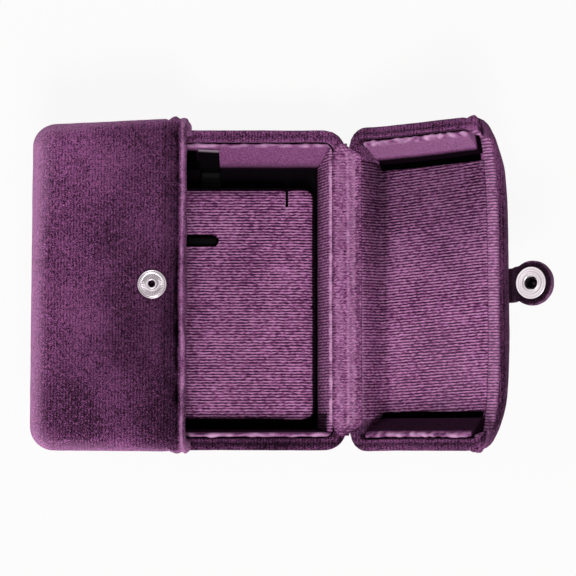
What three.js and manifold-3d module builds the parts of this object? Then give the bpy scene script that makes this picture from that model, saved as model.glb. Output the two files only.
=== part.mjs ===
// A necklace box with two doors, covered in velvet. All sizes are in millimetres.
// X runs across the box from the left door to the right one, Y from front to back, and Z up.
// The origin is the middle of the underside. The left door is shut and the right one stands open.

import * as THREE from "three";
import { mergeVertices } from "three/addons/utils/BufferGeometryUtils.js";
import Module from "manifold-3d";

const wasm = await Module();
wasm.setup();

// The box as a whole
const hingeHalfSpan = 49.7; // from the middle of the box to each hinge line
const boxHalfDepth = 51.5;
const baseHeight = 24; // height of the hinge lines, where the base and the doors meet
const doorHeight = 17.5;
const planCornerRadius = 7;
const doorEdgeRadius = 6.4; // the soft upper edge round each door
const footEdgeRadius = 1.6;
const rightDoorOpening = 145; // degrees from shut

// Thicknesses and clearances
const velvet = 0.9;
const shellWall = 1.6;
const hingeCloth = 0.7;
const fit = 0.3; // between pieces that lie against each other
const hingePlay = 0.3; // from the hinge lines to the walls and rims
const meetingPlay = 0.3; // from the middle of the box to each door's free edge

// The velvet round the rims
const rimReturnDepth = 4; // how far it is turned down inside a rim
const edgeLip = 1.6; // how far it is turned in at a door's free edge
const footTurnIn = 8;
const footSheet = 0.8;
const footSheetInset = 5;

// The linings
const crestRise = 0.4; // how far each padded crest stays below its rim
const crestWidth = 1;
const wallFoot = { side: 9, back: 10.4, front: 6.6 }; // foot of each base lining, from the outside
const doorSideFoot = 10.2;
const doorLiningPad = 1.6;
const doorLiningGap = 2; // from each foot to the padded panel
const doorHingeLiningFromEnd = 10; // from the box's front and back to the lining of the hinge wall
const doorHingeLiningLean = 0.6;
const doorHollowCorner = 2;
const edgeRollWidth = 3.4;
const edgeRollPad = 1.9;
const floorCard = 1.2;

// The pad that the jewellery lies on, and its ribbon
const padDepthBelowRim = 10.4;
const padSideGap = 0.6; // to the linings at the left and right
const padFrontGap = 2.4;
const padBackGap = 6.4; // room for a finger
const padCornerRadius = 3;
const padEdgeRadius = 1.8;
const slitFromMiddle = 30.3;
const slitLength = 6.6;
const slitWidth = 0.7;
const slotLength = 15.6;
const slotWidth = 3.4;
const slotFromBackEdge = 18;
const ribbonWidth = 6.8;
const ribbonThickness = 0.5;
const ribbonFromMiddle = 5;
const ribbonTail = 5;
const ribbonRise = 0.9; // how far its free end stays below the rim

// The hinge cloths
const hingeClothFromEnd = 7.5; // from the box's front and back to the ends of the cloth

// The snap fastener and its tab
const studFromMiddle = 11.5; // where the tab reaches over the left door
const studFlangeRadius = 4.5;
const studFlange = 0.5;
const studNeckRadius = 1.4;
const studHeadRadius = 1.7;
const studBoreRadius = 0.9;
const studHeight = 1.9; // above its flange
const socketRadius = 5;
const socketFlange = 0.45;
const socketBarrelRadius = 3.4;
const socketBarrelHeight = 1.5;
const socketWall = 0.4;
const springWireRadius = 0.25;
const snapSway = 0.4; // room for the stud's head as the tab swings down over it
const washerRadius = 3.4;
const washerThickness = 0.7;
const capRadius = 4.7;
const capDome = 1;
const rivetRadius = 1.3;
const tabNeckHalfWidth = 5.4;
const tabHeadRadius = 7.1;
const tabThickness = 1.7;
const tabRootLength = 9;
const tabRootBeyond = 0.9; // from the free edge to the line where the neck bends
const tabHeadReach = 5.2; // from the line where the head bends to the middle of the snap
const tabNeckCurl = 69.5; // degrees that the neck is curled inwards, from where it lies when shut
const tabHeadCurl = 72.5; // degrees that the head is bent back on the neck, from where it lies when shut

// How finely round forms are cut into flats
const cornerSteps = 5;
const edgeSteps = 4;
const turnedSteps = 40;
const sliver = 0.004;

// Places that follow from the sizes
const beyond = 60; // reaches past any piece that is cut
const baseHalfWidth = hingeHalfSpan - hingePlay;
const doorLength = hingeHalfSpan - meetingPlay; // from the hinge line to the free edge
const doorLiningHalfWidth = boxHalfDepth - doorSideFoot - doorLiningGap;
const doorHingeLiningHalfWidth = boxHalfDepth - doorHingeLiningFromEnd;
const hingeClothHalfLength = boxHalfDepth - hingeClothFromEnd;
const rimTop = baseHeight - hingePlay;
const shellOffset = velvet + fit;
const shellInside = shellOffset + shellWall;
const returnOutside = shellInside + fit;
const returnInside = returnOutside + velvet;
const coverBottom = footSheet + fit;
const shellBottom = coverBottom + velvet + fit;
const floorTop = shellBottom + shellWall;
const cardTop = floorTop + fit + floorCard;
const padBottom = cardTop + fit;
const padTop = baseHeight - padDepthBelowRim;
const padHalfWidth = baseHalfWidth - wallFoot.side - padSideGap;
const padBack = boxHalfDepth - wallFoot.back - padBackGap;
const padFront = -(boxHalfDepth - wallFoot.front - padFrontGap);
const clothInner = hingePlay + velvet - hingeCloth;
const clothOuter = hingePlay + velvet;
const clothLeg = returnInside + fit;
const doorRim = hingePlay;
const panelBack = doorHeight - shellInside - fit;
const panelFace = panelBack - doorLiningPad;
const edgeRollEnd = doorLength - edgeLip - fit;
const edgeRollStart = edgeRollEnd - edgeRollWidth;
const studAt = hingeHalfSpan - studFromMiddle;
const snapReach = hingeHalfSpan + studFromMiddle; // the same point measured from the right hinge
const socketFace = doorHeight + fit + studFlange + fit;
const tabInner = socketFace + socketFlange + fit;
const tabOuter = tabInner + tabThickness;
const tabRootInner = doorHeight + fit;
const tabKnuckle = tabThickness / 2 + fit; // from a bending line to where a round end starts
const neckLine = { along: doorLength + tabRootBeyond, up: tabRootInner + tabThickness / 2 };
const headLine = { along: snapReach - tabHeadReach, up: tabInner + tabThickness / 2 };

// The finishes
const finish = {
  velvet: { color: 0x5b3053, roughness: 0.95, metalness: 0 },
  ribbed: { color: 0x744168, roughness: 0.9, metalness: 0 },
  lining: { color: 0x6c3d65, roughness: 0.85, metalness: 0 },
  plastic: { color: 0x2b1c2a, roughness: 0.6, metalness: 0 },
  foam: { color: 0x3a2438, roughness: 1, metalness: 0 },
  card: { color: 0x241a24, roughness: 0.9, metalness: 0 },
  satin: { color: 0x0b090b, roughness: 0.45, metalness: 0 },
  nickel: { color: 0xcfc9cc, roughness: 0.25, metalness: 1 },
};

// Working with solids

// A geometry as a solid that can be cut and joined.
function solid(geometry) {
  const bare = geometry.clone();
  for (const name of Object.keys(bare.attributes)) {
    if (name !== "position") {
      bare.deleteAttribute(name);
    }
  }
  const merged = mergeVertices(bare, 1e-4);
  const vertProperties = new Float32Array(merged.attributes.position.array);
  const triVerts = new Uint32Array(merged.index.array);
  return new wasm.Manifold(new wasm.Mesh({ numProp: 3, vertProperties, triVerts }));
}

// A cut or joined solid as a geometry again, without the slivers that cuts leave.
function geometryOf(body) {
  const mesh = body.simplify(sliver).getMesh();
  const geometry = new THREE.BufferGeometry();
  geometry.setAttribute("position", new THREE.BufferAttribute(new Float32Array(mesh.vertProperties), 3));
  geometry.setIndex(new THREE.BufferAttribute(new Uint32Array(mesh.triVerts), 1));
  geometry.computeVertexNormals();
  return geometry;
}

// A named piece of one finish.
function piece(name, body, look) {
  const material = new THREE.MeshStandardMaterial(look);
  const mesh = new THREE.Mesh(geometryOf(body), material);
  mesh.name = name;
  return mesh;
}

// A rectangle with round corners.
function roundedRectangle(x0, x1, y0, y1, radius) {
  const shape = new THREE.Shape();
  shape.moveTo(x0 + radius, y0);
  shape.lineTo(x1 - radius, y0);
  shape.absarc(x1 - radius, y0 + radius, radius, -Math.PI / 2, 0);
  shape.lineTo(x1, y1 - radius);
  shape.absarc(x1 - radius, y1 - radius, radius, 0, Math.PI / 2);
  shape.lineTo(x0 + radius, y1);
  shape.absarc(x0 + radius, y1 - radius, radius, Math.PI / 2, Math.PI);
  shape.lineTo(x0, y0 + radius);
  shape.absarc(x0 + radius, y0 + radius, radius, Math.PI, 1.5 * Math.PI);
  return shape;
}

// A block between two corners.
function block(x0, x1, y0, y1, z0, z1) {
  const geometry = new THREE.BoxGeometry(x1 - x0, y1 - y0, z1 - z0);
  geometry.translate((x0 + x1) / 2, (y0 + y1) / 2, (z0 + z1) / 2);
  return solid(geometry);
}

// An outline drawn seen from above, raised between two heights, with both its edges rounded.
function raised(shape, z0, z1, edge = 0) {
  const geometry = new THREE.ExtrudeGeometry(shape, {
    depth: z1 - z0 - 2 * edge,
    curveSegments: cornerSteps,
    bevelEnabled: edge > 0,
    bevelSize: edge,
    bevelThickness: edge,
    bevelOffset: -edge,
    bevelSegments: edgeSteps,
  });
  geometry.translate(0, 0, z0 + edge);
  return solid(geometry);
}

// A section drawn in X and Z, run along Y.
function alongY(shape, y0, y1) {
  const geometry = new THREE.ExtrudeGeometry(shape, {
    depth: y1 - y0,
    curveSegments: cornerSteps,
    bevelEnabled: false,
  });
  const turn = new THREE.Matrix4().makeBasis(
    new THREE.Vector3(1, 0, 0),
    new THREE.Vector3(0, 0, 1),
    new THREE.Vector3(0, -1, 0),
  );
  geometry.applyMatrix4(turn);
  geometry.translate(0, y1, 0);
  return solid(geometry);
}

// A section drawn in Y and Z, run along X.
function alongX(shape, x0, x1) {
  const geometry = new THREE.ExtrudeGeometry(shape, {
    depth: x1 - x0,
    curveSegments: cornerSteps,
    bevelEnabled: false,
  });
  const turn = new THREE.Matrix4().makeBasis(
    new THREE.Vector3(0, 1, 0),
    new THREE.Vector3(0, 0, 1),
    new THREE.Vector3(1, 0, 0),
  );
  geometry.applyMatrix4(turn);
  geometry.translate(x0, 0, 0);
  return solid(geometry);
}

// A turned piece on the Z axis, from a list of radius and height.
function turned(profile, x = 0) {
  const points = profile.map(([radius, height]) => new THREE.Vector2(radius, height));
  const geometry = new THREE.LatheGeometry(points, turnedSteps);
  geometry.rotateX(Math.PI / 2);
  geometry.translate(x, 0, 0);
  return solid(geometry);
}

// A round pin or bore at a place along X.
function rod(radius, z0, z1, x = 0) {
  return turned([[0, z0], [radius, z0], [radius, z1], [0, z1]], x);
}

// The base

// The base's outline, drawn in by a given amount, between two heights.
function baseForm(inset, z0, z1, edge = 0) {
  const halfWidth = baseHalfWidth - inset;
  const halfDepth = boxHalfDepth - inset;
  const radius = planCornerRadius - inset;
  return raised(roundedRectangle(-halfWidth, halfWidth, -halfDepth, halfDepth, radius), z0, z1, edge);
}

// What both hinge cloths need cut away from the velvet on the base's rim.
function baseHingeRoom() {
  const halfLength = hingeClothHalfLength + fit;
  const flange = block(
    baseHalfWidth - returnInside - fit, beyond, -halfLength, halfLength, rimTop - velvet - fit, beyond,
  );
  const turnedDown = block(
    baseHalfWidth - returnInside - fit, baseHalfWidth - shellInside, -halfLength, halfLength,
    rimTop - rimReturnDepth - fit, beyond,
  );
  const right = flange.add(turnedDown);
  return right.add(right.mirror([1, 0, 0]));
}

function baseCover() {
  const outside = baseForm(0, coverBottom, rimTop, footEdgeRadius);
  const turnedDown = baseForm(returnOutside, rimTop - rimReturnDepth, beyond);
  const innerEdge = footEdgeRadius - velvet;
  const pocket = baseForm(velvet, coverBottom + velvet, rimTop - velvet, innerEdge).subtract(turnedDown);
  const mouth = baseForm(returnInside, rimTop - rimReturnDepth - fit, beyond);
  const underside = block(
    -baseHalfWidth + footTurnIn, baseHalfWidth - footTurnIn,
    -boxHalfDepth + footTurnIn, boxHalfDepth - footTurnIn, 0, shellBottom,
  );
  return outside.subtract(pocket).subtract(mouth).subtract(underside).subtract(baseHingeRoom());
}

function baseShell() {
  const edge = footEdgeRadius - velvet;
  const outside = baseForm(shellOffset, shellBottom, rimTop + velvet, edge);
  const inside = baseForm(shellInside, floorTop, beyond);
  const trim = block(-beyond, beyond, -beyond, beyond, rimTop - velvet - fit, beyond);
  return outside.subtract(inside).subtract(trim);
}

// A padded strip on a base wall, from the wall inwards: a crest under the rim, a slope and a foot.
function liningSection(footAt, grow) {
  const crest = returnInside + fit - grow;
  const top = rimTop - crestRise + grow;
  const shape = new THREE.Shape();
  shape.moveTo(0, cardTop + fit - grow);
  shape.lineTo(0, top - crestWidth / 2);
  shape.lineTo(crest, top - crestWidth / 2);
  shape.quadraticCurveTo(crest, top, crest + crestWidth / 2, top);
  shape.quadraticCurveTo(crest + crestWidth, top, crest + 1.4 * crestWidth + grow, top - crestWidth);
  shape.lineTo(footAt - crestWidth / 2 + grow, padTop + crestWidth);
  shape.quadraticCurveTo(footAt + grow, padTop, footAt + grow, padTop - crestWidth);
  shape.lineTo(footAt + grow, cardTop + fit - grow);
  return shape;
}

// One base lining before it is trimmed, lying along X at the back or along Y at the right.
function liningStrip(footAt, atRight, grow = 0) {
  const shape = liningSection(footAt, grow);
  const strip = alongX(shape, -beyond, beyond);
  if (atRight) {
    return strip.rotate([0, 0, 90]).translate([baseHalfWidth, 0, 0]);
  }
  return strip.rotate([0, 0, 180]).translate([0, boxHalfDepth, 0]);
}

function baseLinings() {
  const underReturn = rimTop - rimReturnDepth - fit;
  const room = baseForm(returnOutside, cardTop, underReturn).add(baseForm(returnInside + fit, cardTop, beyond));
  const back = liningStrip(wallFoot.back, false);
  const front = liningStrip(wallFoot.front, false).rotate([0, 0, 180]);
  const backRoom = liningStrip(wallFoot.back, false, fit);
  const frontRoom = liningStrip(wallFoot.front, false, fit).rotate([0, 0, 180]);
  const right = liningStrip(wallFoot.side, true).subtract(backRoom).subtract(frontRoom);
  return {
    back: back.intersect(room),
    front: front.intersect(room),
    right: right.intersect(room),
    left: right.intersect(room).mirror([1, 0, 0]),
  };
}

function base() {
  const group = new THREE.Group();
  const linings = baseLinings();
  const sheetInset = footSheetInset;
  group.add(
    piece("base_cover", baseCover(), finish.velvet),
    piece("base_shell", baseShell(), finish.plastic),
    piece("base_foot_sheet", baseForm(sheetInset, 0, footSheet), finish.velvet),
    piece("base_floor_card", baseForm(shellInside + fit, floorTop + fit, cardTop), finish.card),
    piece("base_lining_back", linings.back, finish.lining),
    piece("base_lining_front", linings.front, finish.lining),
    piece("base_lining_left", linings.left, finish.ribbed),
    piece("base_lining_right", linings.right, finish.ribbed),
  );
  return group;
}

// The pad and its ribbon

// The pad's outline, drawn in by a given amount, between two heights.
function padForm(inset, z0, z1, edge = 0) {
  const shape = roundedRectangle(
    -padHalfWidth + inset, padHalfWidth - inset, padFront + inset, padBack - inset, padCornerRadius - inset,
  );
  return raised(shape, z0, z1, edge);
}

// The two slits in from the pad's back edge, the slot, and the ribbon's way out underneath.
function padCuts() {
  let cuts = null;
  for (const side of [-1, 1]) {
    const x = side * slitFromMiddle;
    const slit = block(x - slitWidth / 2, x + slitWidth / 2, padBack - slitLength, beyond, padBottom - 1, beyond);
    cuts = cuts ? cuts.add(slit) : slit;
  }
  const slotMiddle = padBack - slotFromBackEdge;
  const slotEnd = slotWidth / 2;
  const slot = roundedRectangle(
    -slotLength / 2, slotLength / 2, slotMiddle - slotEnd, slotMiddle + slotEnd, slotEnd - 0.01,
  );
  const ribbonWay = block(
    ribbonFromMiddle - ribbonWidth / 2 - fit, ribbonFromMiddle + ribbonWidth / 2 + fit,
    padBack - ribbonTail - fit, beyond, padBottom - 1, padBottom + ribbonThickness + 3 * fit,
  );
  return cuts.add(raised(slot, padBottom - 1, padTop + 1)).add(ribbonWay);
}

function padCover() {
  const domed = padForm(0, padBottom - 2 * padEdgeRadius, padTop, padEdgeRadius);
  const trim = block(-beyond, beyond, -beyond, beyond, -beyond, padBottom);
  const inside = padForm(velvet, padBottom - 1, padTop - velvet);
  return domed.subtract(trim).subtract(inside).subtract(padCuts());
}

function padCore() {
  return padForm(velvet + fit, padBottom, padTop - velvet - fit).subtract(padCuts());
}

// The ribbon's section: out from under the pad, and up along the back lining.
function pullRibbon() {
  const knee = padTop + crestWidth;
  const kneeDepth = wallFoot.back - crestWidth / 2;
  const brow = rimTop - crestRise - crestWidth;
  const browDepth = returnInside + fit + 1.4 * crestWidth;
  const lean = (kneeDepth - browDepth) / (brow - knee);
  const offset = fit * Math.hypot(1, lean);
  const depth = wallFoot.back + fit;
  const turn = knee - (depth - kneeDepth - offset) / lean;
  const top = rimTop - ribbonRise;
  const wall = boxHalfDepth - depth;
  const topAt = boxHalfDepth - (kneeDepth + offset - lean * (top - knee));
  const low = padBottom + fit;
  const bend = 2;
  const t = ribbonThickness;
  const shape = new THREE.Shape();
  shape.moveTo(padBack - ribbonTail, low);
  shape.lineTo(wall - bend, low);
  shape.quadraticCurveTo(wall, low, wall, low + bend);
  shape.lineTo(wall, turn);
  shape.lineTo(topAt, top);
  shape.lineTo(topAt - t, top);
  shape.lineTo(wall - t, turn);
  shape.lineTo(wall - t, low + bend);
  shape.quadraticCurveTo(wall - t, low + t, wall - bend, low + t);
  shape.lineTo(padBack - ribbonTail, low + t);
  return alongX(shape, ribbonFromMiddle - ribbonWidth / 2, ribbonFromMiddle + ribbonWidth / 2);
}

function pad() {
  const group = new THREE.Group();
  group.add(
    piece("pad_cover", padCover(), finish.ribbed),
    piece("pad_foam", padCore(), finish.foam),
    piece("pull_ribbon", pullRibbon(), finish.satin),
  );
  return group;
}

// The doors. Each is drawn shut, from its hinge line inwards along X, with its rim at the bottom.

// A door's outer form, drawn in by a given amount, cut at a length and above a height.
function doorForm(inset, length = 2 * beyond, from = -1) {
  const shape = roundedRectangle(
    hingePlay + doorEdgeRadius, 2 * hingeHalfSpan - hingePlay - doorEdgeRadius,
    -boxHalfDepth + doorEdgeRadius, boxHalfDepth - doorEdgeRadius, planCornerRadius - doorEdgeRadius,
  );
  const edge = doorEdgeRadius - inset;
  const geometry = new THREE.ExtrudeGeometry(shape, {
    depth: doorHeight,
    curveSegments: cornerSteps,
    bevelEnabled: true,
    bevelSize: edge,
    bevelThickness: edge,
    bevelSegments: edgeSteps,
  });
  geometry.translate(0, 0, -doorEdgeRadius);
  const within = block(-beyond, Math.min(length, hingeHalfSpan + beyond), -beyond, beyond, from, beyond);
  return solid(geometry).intersect(within);
}

// What the hinge cloth needs cut away from the velvet on a door's rim.
function doorHingeRoom() {
  const halfLength = hingeClothHalfLength + fit;
  const flange = block(
    -beyond, hingePlay + returnInside + fit, -halfLength, halfLength, -1, doorRim + velvet + fit,
  );
  const turnedUp = block(
    hingePlay + shellInside, hingePlay + returnInside + fit, -halfLength, halfLength,
    -1, doorRim + rimReturnDepth + fit,
  );
  return flange.add(turnedUp);
}

function doorCover() {
  const outside = doorForm(0, doorLength, doorRim);
  const ring = doorForm(velvet, doorLength - velvet, doorRim + velvet).subtract(doorForm(returnOutside));
  const inside = doorForm(returnInside);
  const behindReturn = doorForm(returnOutside, doorLength - edgeLip, doorRim + rimReturnDepth);
  return outside.subtract(ring).subtract(inside).subtract(behindReturn).subtract(doorHingeRoom());
}

function doorShell() {
  const outside = doorForm(shellOffset, doorLength - shellOffset, doorRim + shellOffset);
  return outside.subtract(doorForm(shellInside));
}

// The ribbed lining: down the hinge wall, round the corner and over the panel.
function doorLining() {
  const face = hingePlay + returnInside + fit;
  const end = edgeRollStart - fit;
  const low = doorRim + velvet + fit;
  const corner = doorHollowCorner;
  const shape = new THREE.Shape();
  shape.moveTo(0, low);
  shape.lineTo(face, low);
  shape.lineTo(face + doorHingeLiningLean, panelFace - corner);
  shape.quadraticCurveTo(face + doorHingeLiningLean, panelFace, face + corner, panelFace);
  shape.lineTo(end, panelFace);
  shape.lineTo(end, doorHeight);
  shape.lineTo(0, doorHeight);
  const whole = alongY(shape, -doorHingeLiningHalfWidth, doorHingeLiningHalfWidth);
  const wallOnly = face + doorHingeLiningLean / 2;
  const sides = block(
    wallOnly, beyond, doorLiningHalfWidth, beyond, -beyond, beyond,
  );
  const trimmed = whole.subtract(sides).subtract(sides.mirror([0, 1, 0]));
  return trimmed.intersect(doorForm(returnOutside));
}

// The padded strip on one side wall of a door, on the +Y side.
function doorSideLining() {
  const crest = boxHalfDepth - returnInside - fit;
  const foot = boxHalfDepth - doorSideFoot;
  const low = doorRim + crestRise;
  const kneeAt = panelFace - crestWidth;
  const shape = new THREE.Shape();
  shape.moveTo(boxHalfDepth, doorHeight);
  shape.lineTo(boxHalfDepth, low + crestWidth / 2);
  shape.lineTo(crest, low + crestWidth / 2);
  shape.quadraticCurveTo(crest, low, crest - crestWidth / 2, low);
  shape.quadraticCurveTo(crest - crestWidth, low, crest - 1.4 * crestWidth, low + crestWidth);
  shape.lineTo(foot + crestWidth / 2, kneeAt - 2 * crestWidth);
  shape.quadraticCurveTo(foot, kneeAt, foot, panelFace);
  shape.lineTo(foot, doorHeight);
  const start = hingePlay + returnInside + fit + doorHingeLiningLean + fit;
  const above = doorRim + rimReturnDepth + fit;
  const room = doorForm(returnInside + fit).add(doorForm(returnOutside, 2 * beyond, above));
  return alongX(shape, start, edgeRollStart - fit).intersect(room);
}

// The padded band that follows a door's free edge, over both side walls and the panel.
function doorEdgeRoll() {
  const outside = doorForm(returnOutside, edgeRollEnd, doorRim + rimReturnDepth + fit);
  const inside = doorForm(returnOutside + edgeRollPad);
  const start = block(-beyond, edgeRollStart, -beyond, beyond, -beyond, beyond);
  return outside.subtract(inside).subtract(start);
}

// The pieces that both doors have. sides gives the names of the walls at +Y and at -Y.
function door(name, sides, cover, shell, lining) {
  const group = new THREE.Group();
  const sideLining = doorSideLining();
  group.add(
    piece(`${name}_cover`, cover, finish.velvet),
    piece(`${name}_shell`, shell, finish.plastic),
    piece(`${name}_lining`, lining, finish.ribbed),
    piece(`${name}_side_lining_${sides[0]}`, sideLining, finish.lining),
    piece(`${name}_side_lining_${sides[1]}`, sideLining.mirror([0, 1, 0]), finish.lining),
    piece(`${name}_edge_roll`, doorEdgeRoll(), finish.ribbed),
  );
  return group;
}

// The snap fastener

// The stud on the left door, seen from above: a flange with a raised rim, and a hollow headed post.
function snapStud() {
  const z = doorHeight + fit;
  const flangeTop = z + studFlange;
  const headTop = flangeTop + studHeight;
  const tail = panelBack - washerThickness;
  const bead = 0.25;
  return turned([
    [studBoreRadius, tail],
    [studNeckRadius, tail],
    [studNeckRadius, z],
    [studFlangeRadius, z],
    [studFlangeRadius, flangeTop],
    [studFlangeRadius - bead, flangeTop + bead],
    [studFlangeRadius - 3 * bead, flangeTop],
    [studHeadRadius + 2 * bead, flangeTop],
    [studNeckRadius, flangeTop + bead],
    [studNeckRadius, headTop - 3 * bead],
    [studHeadRadius, headTop - 2 * bead],
    [studHeadRadius - bead / 2, headTop],
    [studBoreRadius, headTop],
    [studBoreRadius, tail],
  ], studAt);
}

// The washer inside the door that the stud's tail is spread over.
function studWasher() {
  const bore = studNeckRadius + fit;
  const top = panelBack;
  const low = panelBack - washerThickness;
  return turned([[bore, low], [washerRadius, low], [washerRadius, top], [bore, top], [bore, low]], studAt);
}

// The socket on the tab: a flange that faces the stud, and a barrel let into the tab.
function snapSocket() {
  const mouth = studHeadRadius + fit + snapSway;
  const flangeBack = socketFace + socketFlange;
  const back = flangeBack + fit + socketBarrelHeight;
  const inner = socketBarrelRadius - socketWall;
  const groove = 0.2;
  const bore = rivetRadius + fit;
  return turned([
    [mouth, socketFace + groove],
    [mouth + groove, socketFace],
    [socketBarrelRadius - groove, socketFace],
    [socketBarrelRadius, socketFace + groove],
    [socketBarrelRadius + 2 * groove, socketFace + groove],
    [socketBarrelRadius + 3 * groove, socketFace],
    [socketRadius - groove, socketFace],
    [socketRadius, socketFace + groove],
    [socketRadius, flangeBack],
    [socketBarrelRadius, flangeBack],
    [socketBarrelRadius, back],
    [bore, back],
    [bore, back - socketWall],
    [inner, back - socketWall],
    [inner, socketFace + socketFlange],
    [mouth, socketFace + socketFlange],
    [mouth, socketFace + groove],
  ], snapReach);
}

// The spring's two wires, one each side of the stud's head, joined by a bow on the door's side.
function socketSpring() {
  const inner = socketBarrelRadius - socketWall - fit;
  const bow = inner - springWireRadius;
  const apart = studHeadRadius + fit / 2 + springWireRadius;
  const reach = Math.sqrt(inner ** 2 - (apart + springWireRadius) ** 2);
  const z = socketFace + socketFlange + fit + springWireRadius;
  const path = new THREE.CurvePath();
  const corner = (x, y) => new THREE.Vector3(x, y, 0);
  path.add(new THREE.LineCurve3(corner(reach, -apart), corner(0, -apart)));
  path.add(new THREE.QuadraticBezierCurve3(corner(0, -apart), corner(-bow, -apart), corner(-bow, 0)));
  path.add(new THREE.QuadraticBezierCurve3(corner(-bow, 0), corner(-bow, apart), corner(0, apart)));
  path.add(new THREE.LineCurve3(corner(0, apart), corner(reach, apart)));
  const wire = new THREE.Shape();
  wire.absarc(0, 0, springWireRadius, 0, 2 * Math.PI);
  const geometry = new THREE.ExtrudeGeometry(wire, { steps: 24, curveSegments: 4, extrudePath: path });
  geometry.translate(snapReach, 0, z);
  return solid(geometry);
}

// The cap on the outside of the tab, with its rivet through to the socket.
function snapCap() {
  const seat = tabOuter + fit;
  const end = socketFace + socketFlange + fit + socketBarrelHeight - socketWall / 2;
  const top = seat + capDome;
  return turned([
    [0, end],
    [rivetRadius, end],
    [rivetRadius, seat],
    [capRadius, seat],
    [capRadius, seat + 0.3 * capDome],
    [0.85 * capRadius, seat + 0.7 * capDome],
    [0.5 * capRadius, seat + 0.95 * capDome],
    [0, top],
  ], snapReach);
}

// The tab: a stiffened velvet strap in three links, a root glued to the right door, a neck and a round head.

// A strip's section from one place along it to another, with a round end where it faces a bending line.
function stripSection(x0, x1, roundStart, roundEnd) {
  const half = tabThickness / 2;
  const shape = new THREE.Shape();
  shape.moveTo(x0, -half);
  shape.lineTo(x1, -half);
  if (roundEnd) {
    shape.absarc(x1, 0, half, -Math.PI / 2, Math.PI / 2, false);
  } else {
    shape.lineTo(x1, half);
  }
  shape.lineTo(x0, half);
  if (roundStart) {
    shape.absarc(x0, 0, half, Math.PI / 2, 1.5 * Math.PI, false);
  }
  return shape;
}

// The strap's outline seen from above, from a place along the door to the round head.
function tabOutline(start) {
  const meet = Math.sqrt(tabHeadRadius ** 2 - tabNeckHalfWidth ** 2);
  const angle = Math.atan2(tabNeckHalfWidth, -meet);
  const shape = new THREE.Shape();
  shape.moveTo(start, -tabNeckHalfWidth);
  shape.lineTo(snapReach - meet, -tabNeckHalfWidth);
  shape.absarc(snapReach, 0, tabHeadRadius, -angle, angle);
  shape.lineTo(start, tabNeckHalfWidth);
  return shape;
}

function tabStrap() {
  const start = headLine.along + tabKnuckle;
  const tip = snapReach + tabHeadRadius + 1;
  const strip = alongY(stripSection(start, tip, true, false), -beyond, beyond).translate([0, 0, headLine.up]);
  const outline = raised(tabOutline(start - 2), 0, beyond);
  return strip.intersect(outline).subtract(rod(socketBarrelRadius + fit, 0, beyond, snapReach));
}

function tabNeck() {
  const along = headLine.along - neckLine.along;
  const up = headLine.up - neckLine.up;
  const length = Math.hypot(along, up);
  const rise = THREE.MathUtils.radToDeg(Math.atan2(up, along));
  const section = stripSection(tabKnuckle, length - tabKnuckle, true, true);
  const link = alongY(section, -tabNeckHalfWidth, tabNeckHalfWidth);
  return link.rotate([0, -rise, 0]).translate([neckLine.along, 0, neckLine.up]);
}

function tabRoot() {
  const start = doorLength - tabRootLength;
  const end = neckLine.along - tabKnuckle;
  const round = tabNeckHalfWidth - 0.01;
  const plan = roundedRectangle(start, end + 2 * round, -tabNeckHalfWidth, tabNeckHalfWidth, round);
  const strip = alongY(stripSection(start - 1, end, false, true), -beyond, beyond).translate([0, 0, neckLine.up]);
  return strip.intersect(raised(plan, 0, beyond));
}

// Each hinge cloth: one leg on the base's rim, a bend round the hinge line, one leg on the door's rim.
function hingeClothAt(opening) {
  const end = Math.PI / 2 - opening;
  const out = new THREE.Vector2(Math.cos(end), Math.sin(end));
  const along = new THREE.Vector2(-out.y, out.x);
  const legEnd = (radius) => out.clone().multiplyScalar(radius).addScaledVector(along, clothLeg);
  const outer = legEnd(clothOuter);
  const inner = legEnd(clothInner);
  const shape = new THREE.Shape();
  shape.moveTo(-clothLeg, -clothOuter);
  shape.lineTo(0, -clothOuter);
  shape.absarc(0, 0, clothOuter, -Math.PI / 2, end, false);
  shape.lineTo(outer.x, outer.y);
  shape.lineTo(inner.x, inner.y);
  shape.lineTo(clothInner * out.x, clothInner * out.y);
  shape.absarc(0, 0, clothInner, end, -Math.PI / 2, true);
  shape.lineTo(-clothLeg, -clothInner);
  return alongY(shape, -hingeClothHalfLength, hingeClothHalfLength);
}

// The whole box

function leftDoor() {
  const hole = rod(studNeckRadius + fit, 0, beyond, studAt);
  const half = washerRadius + fit;
  const washerRoom = block(studAt - half, studAt + half, -half, half, panelBack - washerThickness - fit, beyond);
  const cover = doorCover().subtract(hole);
  const shell = doorShell().subtract(hole);
  const lining = doorLining().subtract(washerRoom);
  const group = door("left_door", ["back", "front"], cover, shell, lining);
  group.add(
    piece("snap_stud", snapStud(), finish.nickel),
    piece("stud_washer", studWasher(), finish.nickel),
  );
  group.position.set(-hingeHalfSpan, 0, baseHeight);
  return group;
}

// Pieces bent about a line along Y, at a place in the door's section.
function bentAbout(line, degrees, pieces) {
  const held = new THREE.Group();
  held.add(...pieces);
  held.position.set(-line.along, 0, -line.up);
  const bent = new THREE.Group();
  bent.add(held);
  bent.position.set(line.along, 0, line.up);
  bent.rotation.y = THREE.MathUtils.degToRad(degrees);
  return bent;
}

function rightDoor() {
  const group = door("right_door", ["front", "back"], doorCover(), doorShell(), doorLining());
  const head = bentAbout(headLine, -tabHeadCurl, [
    piece("tab_strap", tabStrap(), finish.velvet),
    piece("snap_socket", snapSocket(), finish.nickel),
    piece("socket_spring", socketSpring(), finish.nickel),
    piece("snap_cap", snapCap(), finish.nickel),
  ]);
  const neck = bentAbout(neckLine, tabNeckCurl, [piece("tab_neck", tabNeck(), finish.velvet), head]);
  group.add(piece("tab_root", tabRoot(), finish.velvet), neck);
  group.position.set(hingeHalfSpan, 0, baseHeight);
  group.rotation.set(0, THREE.MathUtils.degToRad(rightDoorOpening), Math.PI);
  return group;
}

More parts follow.
